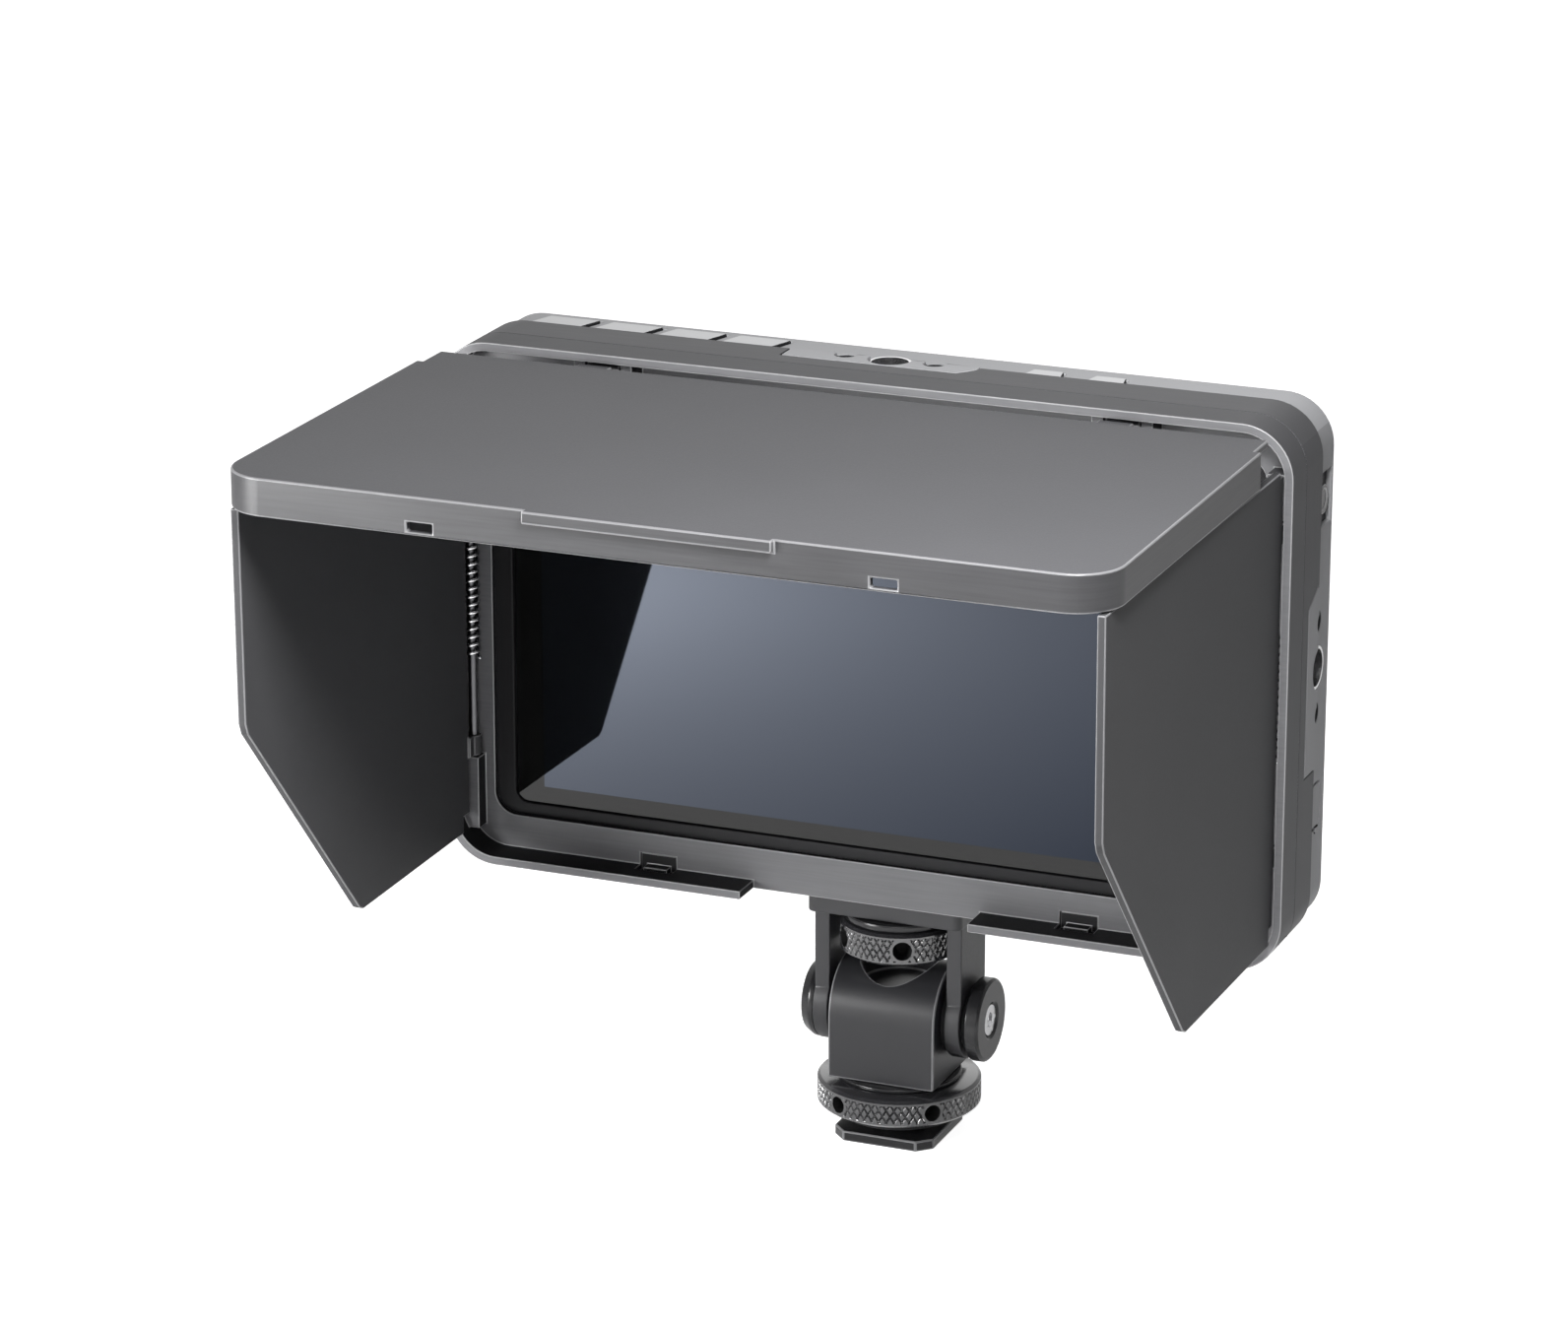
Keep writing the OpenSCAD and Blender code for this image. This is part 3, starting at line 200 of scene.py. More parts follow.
def screen_glass():
    """Black glass with a bluish mirror film over the panel's active area, and a painted reflection
    on the film.

    The film's tone is painted reflection: it falls off evenly from the upper left to the lower
    right corner, lighter where the glass would mirror open floor and darker where it would mirror
    shade. Its share of the light tone is a half, plus a quarter of the height above the middle over
    half the picture's height, less the same of the way to the right."""
    made = bpy.data.materials.new("screen_glass")
    made.use_nodes = True
    tree = made.node_tree
    shader = tree.nodes["Principled BSDF"]
    low, high = (np.array(v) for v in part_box("cover_glass"))
    mid = (low + high) / 2
    half = np.array([ACTIVE_W / 2, ACTIVE_H / 2]) * MM
    place = tree.nodes.new("ShaderNodeTexCoord")
    parts = tree.nodes.new("ShaderNodeSeparateXYZ")
    link(tree, place, "Object", parts, "Vector")
    masks, shares = [], []
    for axis, centre, reach in (("X", mid[0], half[0]), ("Z", mid[2], half[1])):
        shift = math_node(tree, "SUBTRACT", (parts, axis), float(centre))
        size = math_node(tree, "ABSOLUTE", (shift, "Value"))
        masks.append(math_node(tree, "LESS_THAN", (size, "Value"), float(reach)))
        shares.append(math_node(tree, "MULTIPLY", (shift, "Value"), float(PAINTED_REFLECTION_SLOPE / reach)))
    inside = math_node(tree, "MULTIPLY", (masks[0], "Value"), (masks[1], "Value"))
    slope = math_node(tree, "SUBTRACT", (shares[1], "Value"), (shares[0], "Value"))
    share = math_node(tree, "ADD", (slope, "Value"), 0.5)
    # Painted reflection across the film, from the dark tone to the light one.
    film = tree.nodes.new("ShaderNodeMix")
    film.data_type = "RGBA"
    film.inputs["A"].default_value = FILM_PAINTED_DARK_REFLECTION
    film.inputs["B"].default_value = FILM_PAINTED_LIGHT_REFLECTION
    link(tree, share, "Value", film, "Factor")
    tone = tree.nodes.new("ShaderNodeMix")
    tone.data_type = "RGBA"
    tone.inputs["A"].default_value = BORDER_BLACK
    link(tree, film, "Result", tone, "B")
    link(tree, inside, "Value", tone, "Factor")
    link(tree, tone, "Result", shader, "Base Color")
    link(tree, inside, "Value", shader, "Metallic")
    clouds = tree.nodes.new("ShaderNodeTexNoise")
    clouds.inputs["Scale"].default_value = SMEAR_SCALE
    link(tree, place, "Object", clouds, "Vector")
    smear = math_node(tree, "MULTIPLY", (clouds, "Fac"), SMEAR_ROUGH)
    rough = math_node(tree, "ADD", (smear, "Value"), GLASS_ROUGH)
    link(tree, rough, "Value", shader, "Roughness")
    shader.inputs["Specular IOR Level"].default_value = GLASS_LEVEL
    return made


# ---------------------------------------------------------------- mesh tools


def add_mesh(name, points, faces, material, smooth=True):
    """Puts arrays of points and faces into a new object at the origin."""
    mesh = bpy.data.meshes.new(name)
    mesh.from_pydata(np.asarray(points).tolist(), [], [tuple(map(int, f)) for f in faces])
    mesh.materials.append(material)
    if smooth:
        mesh.shade_smooth()
    made = bpy.data.objects.new(name, mesh)
    bpy.context.collection.objects.link(made)
    return made


def grid_faces(rows, cols, wrap_cols=True, wrap_rows=False):
    """Quads of a rows by cols grid of points, closed round its columns or rows where asked."""
    r = np.arange(rows if wrap_rows else rows - 1)
    c = np.arange(cols if wrap_cols else cols - 1)
    r, c = (v.ravel() for v in np.meshgrid(r, c, indexing="ij"))
    this_row = r * cols
    next_row = ((r + 1) % rows) * cols
    next_col = (c + 1) % cols
    return np.stack([this_row + c, this_row + next_col, next_row + next_col, next_row + c], axis=1)


def mark_sharp(obj, angle):
    """Marks edges sharper than the angle so that smooth shading stops there."""
    shape = bmesh.new()
    shape.from_mesh(obj.data)
    for edge in shape.edges:
        if len(edge.link_faces) == 2 and edge.calc_face_angle(0) > math.radians(angle):
            edge.smooth = False
    shape.to_mesh(obj.data)
    shape.free()


# ---------------------------------------------------------------- faces by material
#
# Each sorting function takes a face's middle, its normal and the piece's middle, and gives
# the face's place in the piece's list of materials. Several pieces use later places for painted
# shade: darker copies on sides and black on inward walls, holes and key sides.

SLANT = 0.5  # a normal's part along an axis, below which a face runs along that axis
FORWARD = 0.7
ENDS = 0.85  # faces that look more along Y than this are no inner walls
INWARD = 0.3
PIN_STEP = 8  # from a thread's middle to the pin hole at either side, in millimetres
PIN_R = 1.9
PIN_SLACK = 0.15  # how far outside its radius a hole's wall may lie
PIN_MOUTH = 0.1  # faces nearer the skin than this are the skin itself
PIN_DEPTH = 6
THREADS = {"top": (0.0, -6.6, 141.0), "side": (75.5, -4.8, 95.8)}


def upright(centre, way, middle):
    """Faces that stand upright come second, the rest first."""
    return 1 if abs(way.z) < SLANT else 0


def upright_and_inner(centre, way, middle):
    """Left and right faces come second, where the pieces put a darker copy as painted shade, and
    those that face the piece's middle third, where they put black as painted shade on inward walls.
    """
    out = centre - middle
    reach = math.hypot(out.x, out.z)
    if way.x * out.x + way.z * out.z < -INWARD * reach and abs(way.y) < ENDS:
        return 2
    return 1 if abs(way.z) < SLANT and abs(way.y) < SLANT else 0


def casing_faces(centre, way, middle):
    """As upright_and_inner, with the forward faces round the glass third as well, black as painted
    shade in the gap round the glass.
    """
    return 2 if way.y < -FORWARD else upright_and_inner(centre, way, middle)


def in_pin_hole(centre):
    """Whether a point lies in one of the small holes beside the top and side threads."""
    for side, thread in THREADS.items():
        x, y, z = (at / MM - mouth for at, mouth in zip(centre, thread))
        along, across, down = (x, y, -z) if side == "top" else (z, y, -x)
        off = min(math.hypot(along - PIN_STEP, across), math.hypot(along + PIN_STEP, across))
        if off < PIN_R + PIN_SLACK and PIN_MOUTH < down < PIN_DEPTH:
            return True
    return False


def rear_faces(centre, way, middle):
    """As upright_and_inner, with the walls and floors of the pin holes third as well, black as
    painted shade in the holes.
    """
    return 2 if in_pin_hole(centre) else upright_and_inner(centre, way, middle)


def tray_faces(centre, way, middle):
    """The tray's forward faces come first in a lighter copy as painted light, its other outer faces
    second in a darker copy as painted shade, and inner ones third in black as painted shade.
    """
    kind = upright_and_inner(centre, way, middle)
    return kind if kind == 2 or way.y < -SLANT else 1


# ---------------------------------------------------------------- pieces

MERGE_WITHIN = 0.002 * MM
FLAT_WITHIN = math.radians(0.5)
ROUND_FROM = math.radians(30)  # edges sharper than this get a round
ROUND_STEPS = 3


def body_of(node):
    """The CAD body that a node rides on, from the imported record."""
    for name, members in frame["record"]["behaviour"]["bodies"].items():
        if node in members:
            return name
    return "root"


def ride_and_slot(piece, node):
    """Lets a piece move with its CAD node."""
    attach(piece, body_of(node))


def dress(node, material):
    """Gives a CAD node its material; its mesh stays as packed."""
    obj = frame["nodes"][node]
    obj.data.materials.clear()
    obj.data.materials.append(material)


def rounded_twin(node, materials, width, edge=None, sort=None):
    """A twin of a solid with soft edges.

    The node's triangles are merged and its flat stretches joined, then every sharp edge
    gets a round of the given width in millimetres. The rounds may take a lighter
    material of their own as a painted highlight, and a sorting function gives each face
    its place in the list."""
    mesh = frame["nodes"][node].data.copy()
    mesh.materials.clear()
    for material in materials:
        mesh.materials.append(material)
    shape = bmesh.new()
    shape.from_mesh(mesh)
    bmesh.ops.remove_doubles(shape, verts=shape.verts, dist=MERGE_WITHIN)
    bmesh.ops.dissolve_limit(shape, angle_limit=FLAT_WITHIN, verts=shape.verts, edges=shape.edges)
    bmesh.ops.triangulate(shape, faces=[face for face in shape.faces if len(face.verts) > 4],
                          ngon_method="BEAUTY")
    low, high = (Vector(v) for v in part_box(node))
    middle = (low + high) / 2
    for face in shape.faces:
        face.material_index = sort(face.calc_center_median(), face.normal, middle) if sort else 0
    shape.to_mesh(mesh)
    shape.free()
    mesh.shade_smooth()
    made = bpy.data.objects.new(node + "_soft", mesh)
    bpy.context.collection.objects.link(made)
    soft = made.modifiers.new("soft_edges", "BEVEL")
    soft.width = width * MM
    soft.segments = ROUND_STEPS
    soft.limit_method = "ANGLE"
    soft.angle_limit = ROUND_FROM
    soft.use_clamp_overlap = False
    soft.loop_slide = False
    flat = made.modifiers.new("flat_faces", "WEIGHTED_NORMAL")
    flat.mode = "FACE_AREA"
    flat.weight = 100
    # The rounds take the lighter edge material as a painted highlight.
    if edge is not None:
        mesh.materials.append(edge)
        soft.material = len(mesh.materials) - 1
    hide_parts(node)
    ride_and_slot(made, node)


WHEEL_HOLES = 5
GRID_STEP = 0.14  # between points round the rim; the lengths here are in millimetres
GRID_ROWS = 36
CHAMFER = 0.5
BREAK_RUN = 0.05  # a small flat that breaks the chamfer's inner edge
BREAK_RISE = 0.03
PLAIN_LIP = 0.3
LIP_FADE = 0.15
GROOVE_LEAN = 0.62
GROOVE_SLOPE = 2.2
HOLE_SNAP = 0.09  # points this near a hole's circle are moved onto it
HOLE_LAND = 0.55  # a ring this wide round a hole is left plain
LAND_DROP = 0.05
HOLE_DEPTH = 3.2
HOLE_WALL = 0.6  # faces that reach deeper than this belong to a hole and take black as painted shade
SHARP = 35  # smooth shading stops at edges sharper than this, in degrees


def bore_of(node):
    """Radius in millimetres of a wheel's bore: the least distance of its points from Z."""
    mesh = frame["nodes"][node].data
    points = np.empty(len(mesh.vertices) * 3)
    mesh.vertices.foreach_get("co", points)
    points = points.reshape(-1, 3) / MM
    return float(np.hypot(points[:, 0], points[:, 1]).min())


def knurl(a, z, z0, z1, r, pitch, depth):
    """Radius of a knurled rim at angles a and heights z.

    Two crossing families of grooves slant over the rim. A point's ridge is the lesser of
    the two sines of its phase from a groove, steepened and held at one. The radius is r
    less the depth times one less the ridge, and it fades to r towards the plain lips."""
    count = round(2 * math.pi * r / pitch)
    phase = a * count
    lean = (z - z0) * 2 * math.pi / pitch * GROOVE_LEAN
    ridge = np.minimum(np.abs(np.sin((phase + lean) / 2)), np.abs(np.sin((phase - lean) / 2)))
    below = np.clip((z - z0 - CHAMFER - PLAIN_LIP) / LIP_FADE, 0, 1)
    above = np.clip((z1 - CHAMFER - PLAIN_LIP - z) / LIP_FADE, 0, 1)
    fade = below * above
    return r - depth * fade * (1 - np.clip(ridge * GROOVE_SLOPE, 0, 1))


def sink_holes(a, z, radius, r, mid, hole_r, turn):
    """Sinks round blind holes into a rim's grid of angles, heights and radii.

    Points near a hole's circle are moved onto it, those round it rise to a plain land, and
    those within it drop to its floor."""
    for k in range(WHEEL_HOLES):
        centre = math.radians(turn + k * 360 / WHEEL_HOLES)
        across = (np.mod(a - centre + math.pi, 2 * math.pi) - math.pi) * r
        away = np.hypot(across, z - mid)
        near = np.abs(away - hole_r) < HOLE_SNAP
        scale = np.where(near, hole_r / np.maximum(away, 1e-6), 1.0)
        a = np.where(near, centre + across * scale / r, a)
        z = np.where(near, mid + (z - mid) * scale, z)
        land = (away < hole_r + HOLE_LAND) & (away > hole_r - HOLE_SNAP)
        radius = np.where(land, np.maximum(radius, r - LAND_DROP), radius)
        radius = np.where(away < hole_r - HOLE_SNAP, r - HOLE_DEPTH, radius)
    return a, z, radius


def level_rings(profile, angle):
    """A ring of points over the angles for each radius and height of a profile."""
    rings = []
    for ring_r, ring_z in profile:
        level = np.full(len(angle), ring_z)
        rings.append(np.stack([ring_r * np.cos(angle), ring_r * np.sin(angle), level], axis=-1))
    return np.array(rings)


def knurled_wheel(node, material, pitch, depth, hole_r, turn):
    """A knurled wheel with blind radial holes, turned from one closed profile.

    The rim is a grid over angle and height, with the knurl's radius and the holes sunk
    into it. Below and above it the profile goes on over a chamfer to a flat face and in to
    the bore, whose wall closes the grid."""
    low, high = (np.array(v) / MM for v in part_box(node))
    r = (high[0] - low[0]) / 2
    z0, z1 = low[2], high[2]
    bore = bore_of(node)
    around = int(round(2 * math.pi * r / GRID_STEP))
    angle = np.arange(around) * 2 * math.pi / around
    heights = np.linspace(z0 + CHAMFER, z1 - CHAMFER, GRID_ROWS)
    a, z = np.meshgrid(angle, heights, indexing="xy")
    radius = knurl(a, z, z0, z1, r, pitch, depth)
    a, z, radius = sink_holes(a, z, radius, r, (z0 + z1) / 2, hole_r, turn)
    rim = np.stack([radius * np.cos(a), radius * np.sin(a), z], axis=-1)
    inner = r - CHAMFER
    under = level_rings([(bore, z0), (inner - BREAK_RUN, z0), (inner, z0 + BREAK_RISE)], angle)
    over = level_rings([(inner, z1 - BREAK_RISE), (inner - BREAK_RUN, z1), (bore, z1)], angle)
    points = np.concatenate([under, rim, over]) * MM
    faces = grid_faces(len(points), around, wrap_cols=True, wrap_rows=True)
    made = add_mesh(node + "_knurled", points.reshape(-1, 3), faces, material)
    # Faces deep in the blind holes take matte black rubber as painted shade.
    made.data.materials.append(BLACK_RUBBER)
    inmost = np.hypot(points[..., 0], points[..., 1]).ravel()[faces].min(axis=1) / MM
    height = points[..., 2].ravel()[faces].mean(axis=1) / MM
    painted_shade_holes = (inmost < r - HOLE_WALL) & (height > z0 + CHAMFER) & (height < z1 - CHAMFER)
    made.data.polygons.foreach_set("material_index", painted_shade_holes.astype(np.int32))
    mark_sharp(made, SHARP)
    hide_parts(node)
    ride_and_slot(made, node)


WIRE_R = 0.3
SPRING_PITCH = 1.45
TURN_STEPS = 28  # points along the wire for each turn
WIRE_SIDES = 10


def wound_spring(node, material):
    """A torsion spring: a round wire carried along a helix.

    About the flap's pin the wire's middle is at (R cos t, R sin t, H t / T), where H is the
    height between its ends and T the angle of its whole turns. Round it the wire's skin is
    its radius times the cosine outwards plus the sine along the cross of helix and out."""
    low, high = (np.array(v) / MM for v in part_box(node))
    radius = (high[0] - low[0]) / 2 - WIRE_R
    cx, cy = (low[0] + high[0]) / 2, (low[1] + high[1]) / 2
    bottom, top = low[2] + WIRE_R, high[2] - WIRE_R
    curls = round((top - bottom) / SPRING_PITCH)
    t = np.linspace(0, 2 * math.pi * curls, curls * TURN_STEPS)
    rise = bottom + (top - bottom) * t / t[-1]
    path = np.stack([cx + radius * np.cos(t), cy + radius * np.sin(t), rise], axis=-1)
    ahead = np.gradient(path, axis=0)
    ahead /= np.linalg.norm(ahead, axis=1, keepdims=True)
    out = np.stack([np.cos(t), np.sin(t), np.zeros_like(t)], axis=-1)
    side = np.cross(ahead, out)
    ring = np.linspace(0, 2 * math.pi, WIRE_SIDES, endpoint=False)[None, :, None]
    skin = np.cos(ring) * out[:, None] + np.sin(ring) * side[:, None]
    points = (path[:, None] + WIRE_R * skin) * MM
    rows = len(path)
    faces = grid_faces(rows, WIRE_SIDES)[:, ::-1].tolist()
    faces.append(list(range(WIRE_SIDES)))
    faces.append([(rows - 1) * WIRE_SIDES + k for k in reversed(range(WIRE_SIDES))])
    made = add_mesh(node + "_wire", points.reshape(-1, 3), faces, material)
    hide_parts(node)
    ride_and_slot(made, node)


# ---------------------------------------------------------------- materials

LID_PLASTIC = finish("lid_plastic", (0.047, 0.047, 0.051), 0.52, scale=3200, clouds=0.16,
                     bump=0.5, depth=0.04, level=0.2)
LID_RIM = finish("lid_rim", (0.034, 0.034, 0.036), 0.42, scale=2400, clouds=0.5, bump=0.3,
                 stretch=(0.03, 0.03, 1), level=0.3)
# Painted light: the tray's forward faces take this lighter copy of the tray plastic.
TRAY_LIT_FRONT = finish("tray_lit_front", (0.105, 0.105, 0.110), 0.45, scale=2400, clouds=0.3, bump=0.25,
                      stretch=(0.03, 0.03, 1), level=0.2)
FLAP_PLASTIC = finish("flap_plastic", (0.042, 0.042, 0.044), 0.60, scale=3000, clouds=0.12,
                      bump=0.3, level=0.1)
CASE_DARK = finish("case_dark", (0.050, 0.050, 0.053), 0.48, scale=2600, clouds=0.25, bump=0.2,
                   stretch=(0.05, 1, 0.05), level=0.15)
# Painted shade: the casing's left and right faces take this slightly darker copy.
CASE_SHADED_SIDE = finish("case_shaded_side", (0.048, 0.048, 0.051), 0.50, scale=2600, clouds=0.25, bump=0.2,
                   stretch=(0.05, 1, 0.05), level=0.12)
CASE_GREY = finish("case_grey", (0.24, 0.242, 0.25), 0.46, scale=3400, bump=0.2, level=0.15)
# Painted shade: the rear casing's left and right faces and the port cover take this darker copy.
GREY_SHADED_SIDE = finish("grey_shaded_side", (0.18, 0.181, 0.188), 0.48, scale=3400, bump=0.2, level=0.12)
# Painted shade: the tray's faces other than its forward and inner ones take this darker copy.
TRAY_SHADED = finish("tray_shaded", (0.048, 0.048, 0.051), 0.50, scale=2400, clouds=0.3, bump=0.25,
                   stretch=(0.05, 1, 0.05), level=0.12)
# Painted highlights: the rounds of soft edges take these lighter colours in place of the light that
# a rounded edge catches.
EDGE_PAINTED_HIGHLIGHT = finish("edge_painted_highlight", (0.22, 0.22, 0.225), 0.30, bump=0.05)
EDGE_PAINTED_HIGHLIGHT_DIM = finish("edge_painted_highlight_dim", (0.14, 0.14, 0.145), 0.30, bump=0.05)
BLACK_METAL = finish("black_metal", (0.012, 0.012, 0.013), 0.24, scale=1800, bump=0.06,
                     level=0.3, coat=0.08)
KNURL_METAL = finish("knurl_metal", (0.020, 0.020, 0.022), 0.22, scale=1800, bump=0.05,
                     level=0.9, coat=0.5)
BLOCK_METAL = finish("block_metal", (0.016, 0.016, 0.018), 0.34, scale=2600, bump=0.1, level=0.35)
YOKE_METAL = finish("yoke_metal", (0.026, 0.026, 0.028), 0.40, scale=2600, bump=0.15, level=0.3)
BLACK_PLASTIC = finish("black_plastic", (0.010, 0.010, 0.011), 0.5, bump=0.1, level=0.15)
BLACK_RUBBER = finish("black_rubber", (0.008, 0.008, 0.008), 0.75, bump=0.3, level=0.1)
BRIGHT_STEEL = finish("bright_steel", (0.62, 0.62, 0.63), 0.22, bump=0.04, metallic=1.0)
DARK_STEEL = finish("dark_steel", (0.10, 0.10, 0.105), 0.3, bump=0.05, metallic=1.0)
SHEET_STEEL = finish("sheet_steel", (0.5, 0.51, 0.52), 0.35, bump=0.05, metallic=1.0)
KEY_GREY = finish("key_grey", (0.33, 0.332, 0.34), 0.32, bump=0.12)
GREEN_BOARD = finish("green_board", (0.02, 0.13, 0.06), 0.5, bump=0.1)
GOLD_CONTACT = finish("gold_contact", (0.8, 0.58, 0.22), 0.25, bump=0.03, metallic=1.0)
RED_PLASTIC = finish("red_plastic", (0.3, 0.02, 0.02), 0.4, bump=0.1)
WHITE_SHEET = finish("white_sheet", (0.8, 0.8, 0.79), 0.6, bump=0.05)
PANEL_BLACK = finish("panel_black", (0.008, 0.009, 0.012), 0.2, bump=0.02)
SCREEN = screen_glass()


# Softened twins: materials, width of the round edge in millimetres, the rounds' own lighter
# material as a painted highlight where they have one, and the function that sorts the faces
# among the materials.
# Keys: the upright sides take black as painted shade in the gaps round each key.
KEY = ([KEY_GREY, BLACK_PLASTIC], 0.2, None, upright)
SOFT = {
    "shoe_foot": ([BLACK_METAL], 0.3, EDGE_PAINTED_HIGHLIGHT_DIM),
    "swivel_disc": ([BLACK_METAL], 0.12),
    "clamp_washer": ([BLACK_PLASTIC], 0.12),
    "swivel_block": ([BLOCK_METAL], 0.35, EDGE_PAINTED_HIGHLIGHT_DIM),
    "tilt_yoke": ([YOKE_METAL], 0.25),
    "mount_pad": ([BLACK_RUBBER], 0.2),
    "left_cap": ([BLACK_METAL], 0.2),
    "right_cap": ([BLACK_METAL], 0.15),
    "slip_disc": ([BLACK_METAL], 0.2),
    "tilt_screw": ([BRIGHT_STEEL], 0.08),
    "front_casing": ([CASE_DARK, CASE_SHADED_SIDE, BLACK_PLASTIC], 0.25, None, casing_faces),
    "rear_casing": ([CASE_GREY, GREY_SHADED_SIDE, BLACK_PLASTIC], 0.25, None, rear_faces),
    "hood_frame": ([TRAY_LIT_FRONT, TRAY_SHADED, BLACK_PLASTIC], 0.17, EDGE_PAINTED_HIGHLIGHT, tray_faces),
    "lid": ([LID_PLASTIC, LID_RIM], 0.3, EDGE_PAINTED_HIGHLIGHT_DIM, upright),
    "left_flap": ([FLAP_PLASTIC], 0.2, EDGE_PAINTED_HIGHLIGHT_DIM),
    "right_flap": ([FLAP_PLASTIC], 0.2, EDGE_PAINTED_HIGHLIGHT_DIM),
    "menu_key_1": KEY,
    "menu_key_2": KEY,
    "menu_key_3": KEY,
    "menu_key_4": KEY,
    "zoom_key": KEY,
    "input_key": KEY,
    "power_surround": ([BLACK_PLASTIC], 0.1),
    "power_key": ([BLACK_METAL], 0.15, EDGE_PAINTED_HIGHLIGHT),
    "port_cover": ([GREY_SHADED_SIDE], 0.12),
    "battery_plate": ([BLACK_PLASTIC], 0.2),
    "battery_latch": ([RED_PLASTIC], 0.2),
    "hood_latches": ([BLACK_PLASTIC], 0.15, EDGE_PAINTED_HIGHLIGHT),
}

# Solids inside the casings, and tiny ones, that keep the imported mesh.
PLAIN = {
    "friction_washers": BLACK_PLASTIC,
    "mount_screw": BRIGHT_STEEL,
    "case_screws": DARK_STEEL,
    "cover_glass": SCREEN,
    "glass_gasket": BLACK_RUBBER,
    "lcd_panel": PANEL_BLACK,
    "backlight": WHITE_SHEET,
    "chassis_plate": SHEET_STEEL,
    "mainboard": GREEN_BOARD,
    "heat_spreader": SHEET_STEEL,
    "key_board": GREEN_BOARD,
    "thread_inserts": BRIGHT_STEEL,
    "video_ports": SHEET_STEEL,
    "audio_jack": BLACK_PLASTIC,
    "power_jack": BLACK_PLASTIC,
    "usb_port": SHEET_STEEL,
    "battery_contacts": GOLD_CONTACT,
    "plate_screws": DARK_STEEL,
    "flap_pins": DARK_STEEL,
    "lid_pins": DARK_STEEL,
}

for node, looks in SOFT.items():
    rounded_twin(node, *looks)
for node, material in PLAIN.items():
    dress(node, material)
knurled_wheel("lock_ring", KNURL_METAL, pitch=1.35, depth=0.4, hole_r=1.5, turn=-45)
knurled_wheel("thumbwheel", KNURL_METAL, pitch=1.3, depth=0.4, hole_r=1.7, turn=-67)
wound_spring("left_spring", BRIGHT_STEEL)
wound_spring("right_spring", BRIGHT_STEEL)


# ---------------------------------------------------------------- studio

CAMERA_PLACE = (0.3395, -0.8832, 0.3936)
CAMERA_TURN = 0.3884  # from the view along +Y, in radians
CAMERA_DROP = 0.315  # below level, in radians
LENS = 133.1
SENSOR = 36.0
NEAR_CLIP = 0.01
FAR_CLIP = 20
SEEN_WHITE = 1.0
LIT_WHITE = 0.12  # the room's even light on the object
MIRROR_SHARE = 0.5
FLOOR_REACH = 4.0
FLOOR_DROP = 0.0001
FLOOR_LIFT = 0.88


def set_camera():
    """The photograph's viewpoint: turned towards the object and tipped down."""
    data = bpy.data.cameras.new("camera")
    data.lens = LENS
    data.sensor_width = SENSOR
    data.sensor_fit = "HORIZONTAL"
    data.clip_start = NEAR_CLIP
    data.clip_end = FAR_CLIP
    made = bpy.data.objects.new("camera", data)
    made.location = CAMERA_PLACE
    made.rotation_euler = (math.pi / 2 - CAMERA_DROP, 0, CAMERA_TURN)
    bpy.context.collection.objects.link(made)
    bpy.context.scene.camera = made


def soft_lamp(name, place, aim, size, power):
    """A soft lamp of a width and height in metres, aimed at a point."""
    data = bpy.data.lights.new(name, "AREA")
    data.shape = "RECTANGLE"
    data.size, data.size_y = size
    data.energy = power
    made = bpy.data.objects.new(name, data)
    made.location = place
    way = np.array(aim) - np.array(place)
    made.rotation_euler = (math.atan2(math.hypot(way[0], way[1]), -way[2]), 0,
                           math.atan2(way[0], -way[1]) + math.pi)
    bpy.context.collection.objects.link(made)


def seen_directly(tree):
    """One for rays from the camera or through glass, half for mirrored rays, none for the rest."""
    path = tree.nodes.new("ShaderNodeLightPath")
    mirror = math_node(tree, "MULTIPLY", (path, "Is Glossy Ray"), MIRROR_SHARE)
    both = math_node(tree, "MAXIMUM", (path, "Is Camera Ray"), (mirror, "Value"))
    return math_node(tree, "MAXIMUM", (both, "Value"), (path, "Is Transmission Ray"))


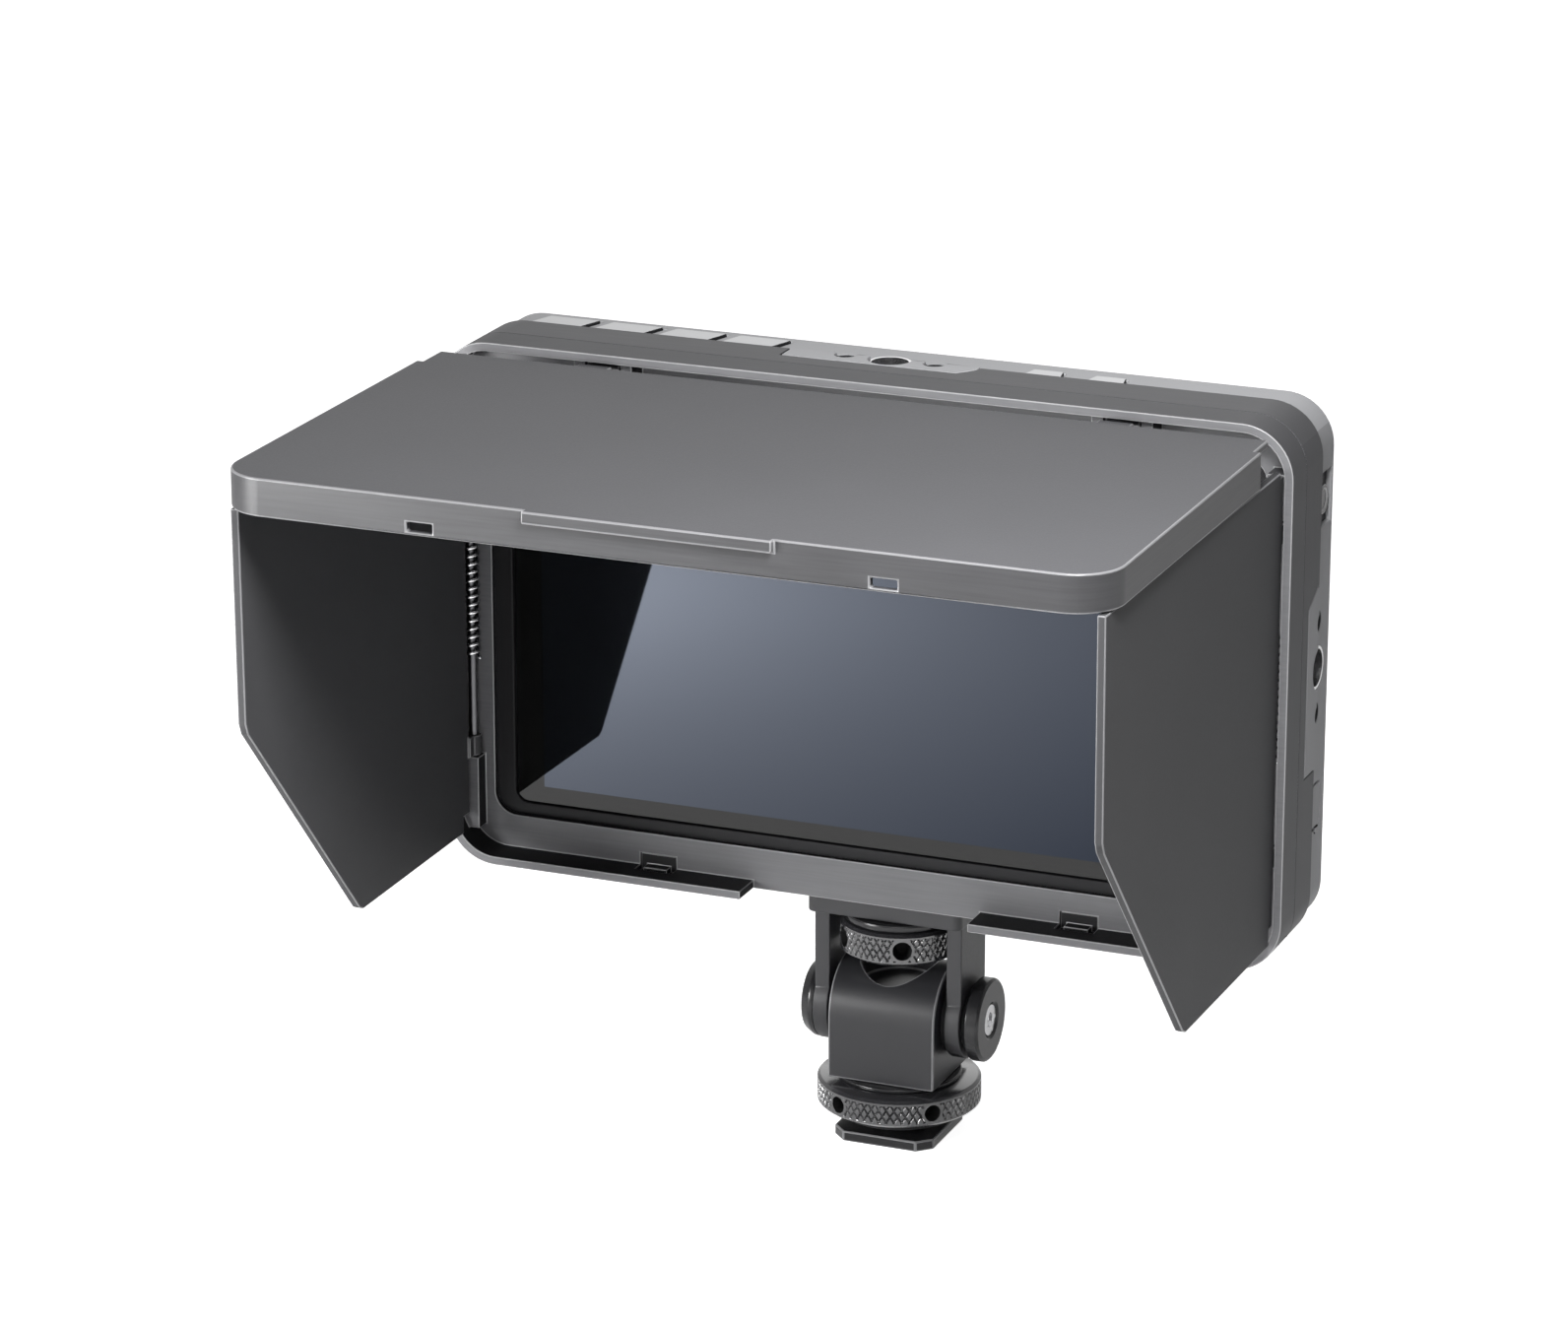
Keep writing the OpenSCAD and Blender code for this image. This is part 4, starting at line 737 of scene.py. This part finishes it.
def white_room():
    """White to the camera, half as bright in mirrors, and a dim even light on the object."""
    world = bpy.data.worlds.new("room")
    world.use_nodes = True
    bpy.context.scene.world = world
    tree = world.node_tree
    tree.nodes.clear()
    out = tree.nodes.new("ShaderNodeOutputWorld")
    seen = tree.nodes.new("ShaderNodeBackground")
    seen.inputs["Color"].default_value = (1, 1, 1, 1)
    seen.inputs["Strength"].default_value = SEEN_WHITE
    lit = tree.nodes.new("ShaderNodeBackground")
    lit.inputs["Color"].default_value = (1, 1, 1, 1)
    lit.inputs["Strength"].default_value = LIT_WHITE
    pick = tree.nodes.new("ShaderNodeMixShader")
    link(tree, seen_directly(tree), "Value", pick, "Fac")
    tree.links.new(lit.outputs[0], pick.inputs[1])
    tree.links.new(seen.outputs[0], pick.inputs[2])
    tree.links.new(pick.outputs[0], out.inputs["Surface"])


def white_floor():
    """A wide pale floor just under the foot that reads as white away from the object's shadow."""
    low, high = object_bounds()
    z = low[2] - FLOOR_DROP
    far = FLOOR_REACH
    corners = [(-far, -far, z), (far, -far, z), (far, far, z), (-far, far, z)]
    material = bpy.data.materials.new("floor_white")
    made = add_mesh("floor", corners, [(0, 1, 2, 3)], material, smooth=False)
    material.use_nodes = True
    tree = material.node_tree
    shader = tree.nodes["Principled BSDF"]
    shader.inputs["Base Color"].default_value = (0.85, 0.85, 0.85, 1)
    shader.inputs["Roughness"].default_value = 0.9
    shader.inputs["Specular IOR Level"].default_value = 0.0
    lift = math_node(tree, "MULTIPLY", (seen_directly(tree), "Value"), FLOOR_LIFT)
    shader.inputs["Emission Color"].default_value = (1, 1, 1, 1)
    link(tree, lift, "Value", shader, "Emission Strength")


set_camera()
soft_lamp("top_box", (0.0, 0.1, 1.3), (0, -0.03, 0.1), (1.2, 1.0), 0.6)
soft_lamp("near_box", (0.10, -0.20, 0.30), (0.07, -0.09, 0.14), (0.08, 0.08), 1.6)
soft_lamp("left_box", (-0.26, -0.32, 0.12), (-0.05, -0.09, 0.12), (0.15, 0.12), 2.2)
soft_lamp("front_box", (0.28, -1.1, 0.45), (0, -0.05, 0.08), (0.5, 0.5), 2.4)
soft_lamp("back_box", (-0.35, 1.0, 0.5), (0.05, 0, 0.14), (1.0, 0.6), 1.5)
white_room()
white_floor()

bpy.context.scene.view_settings.view_transform = "Standard"
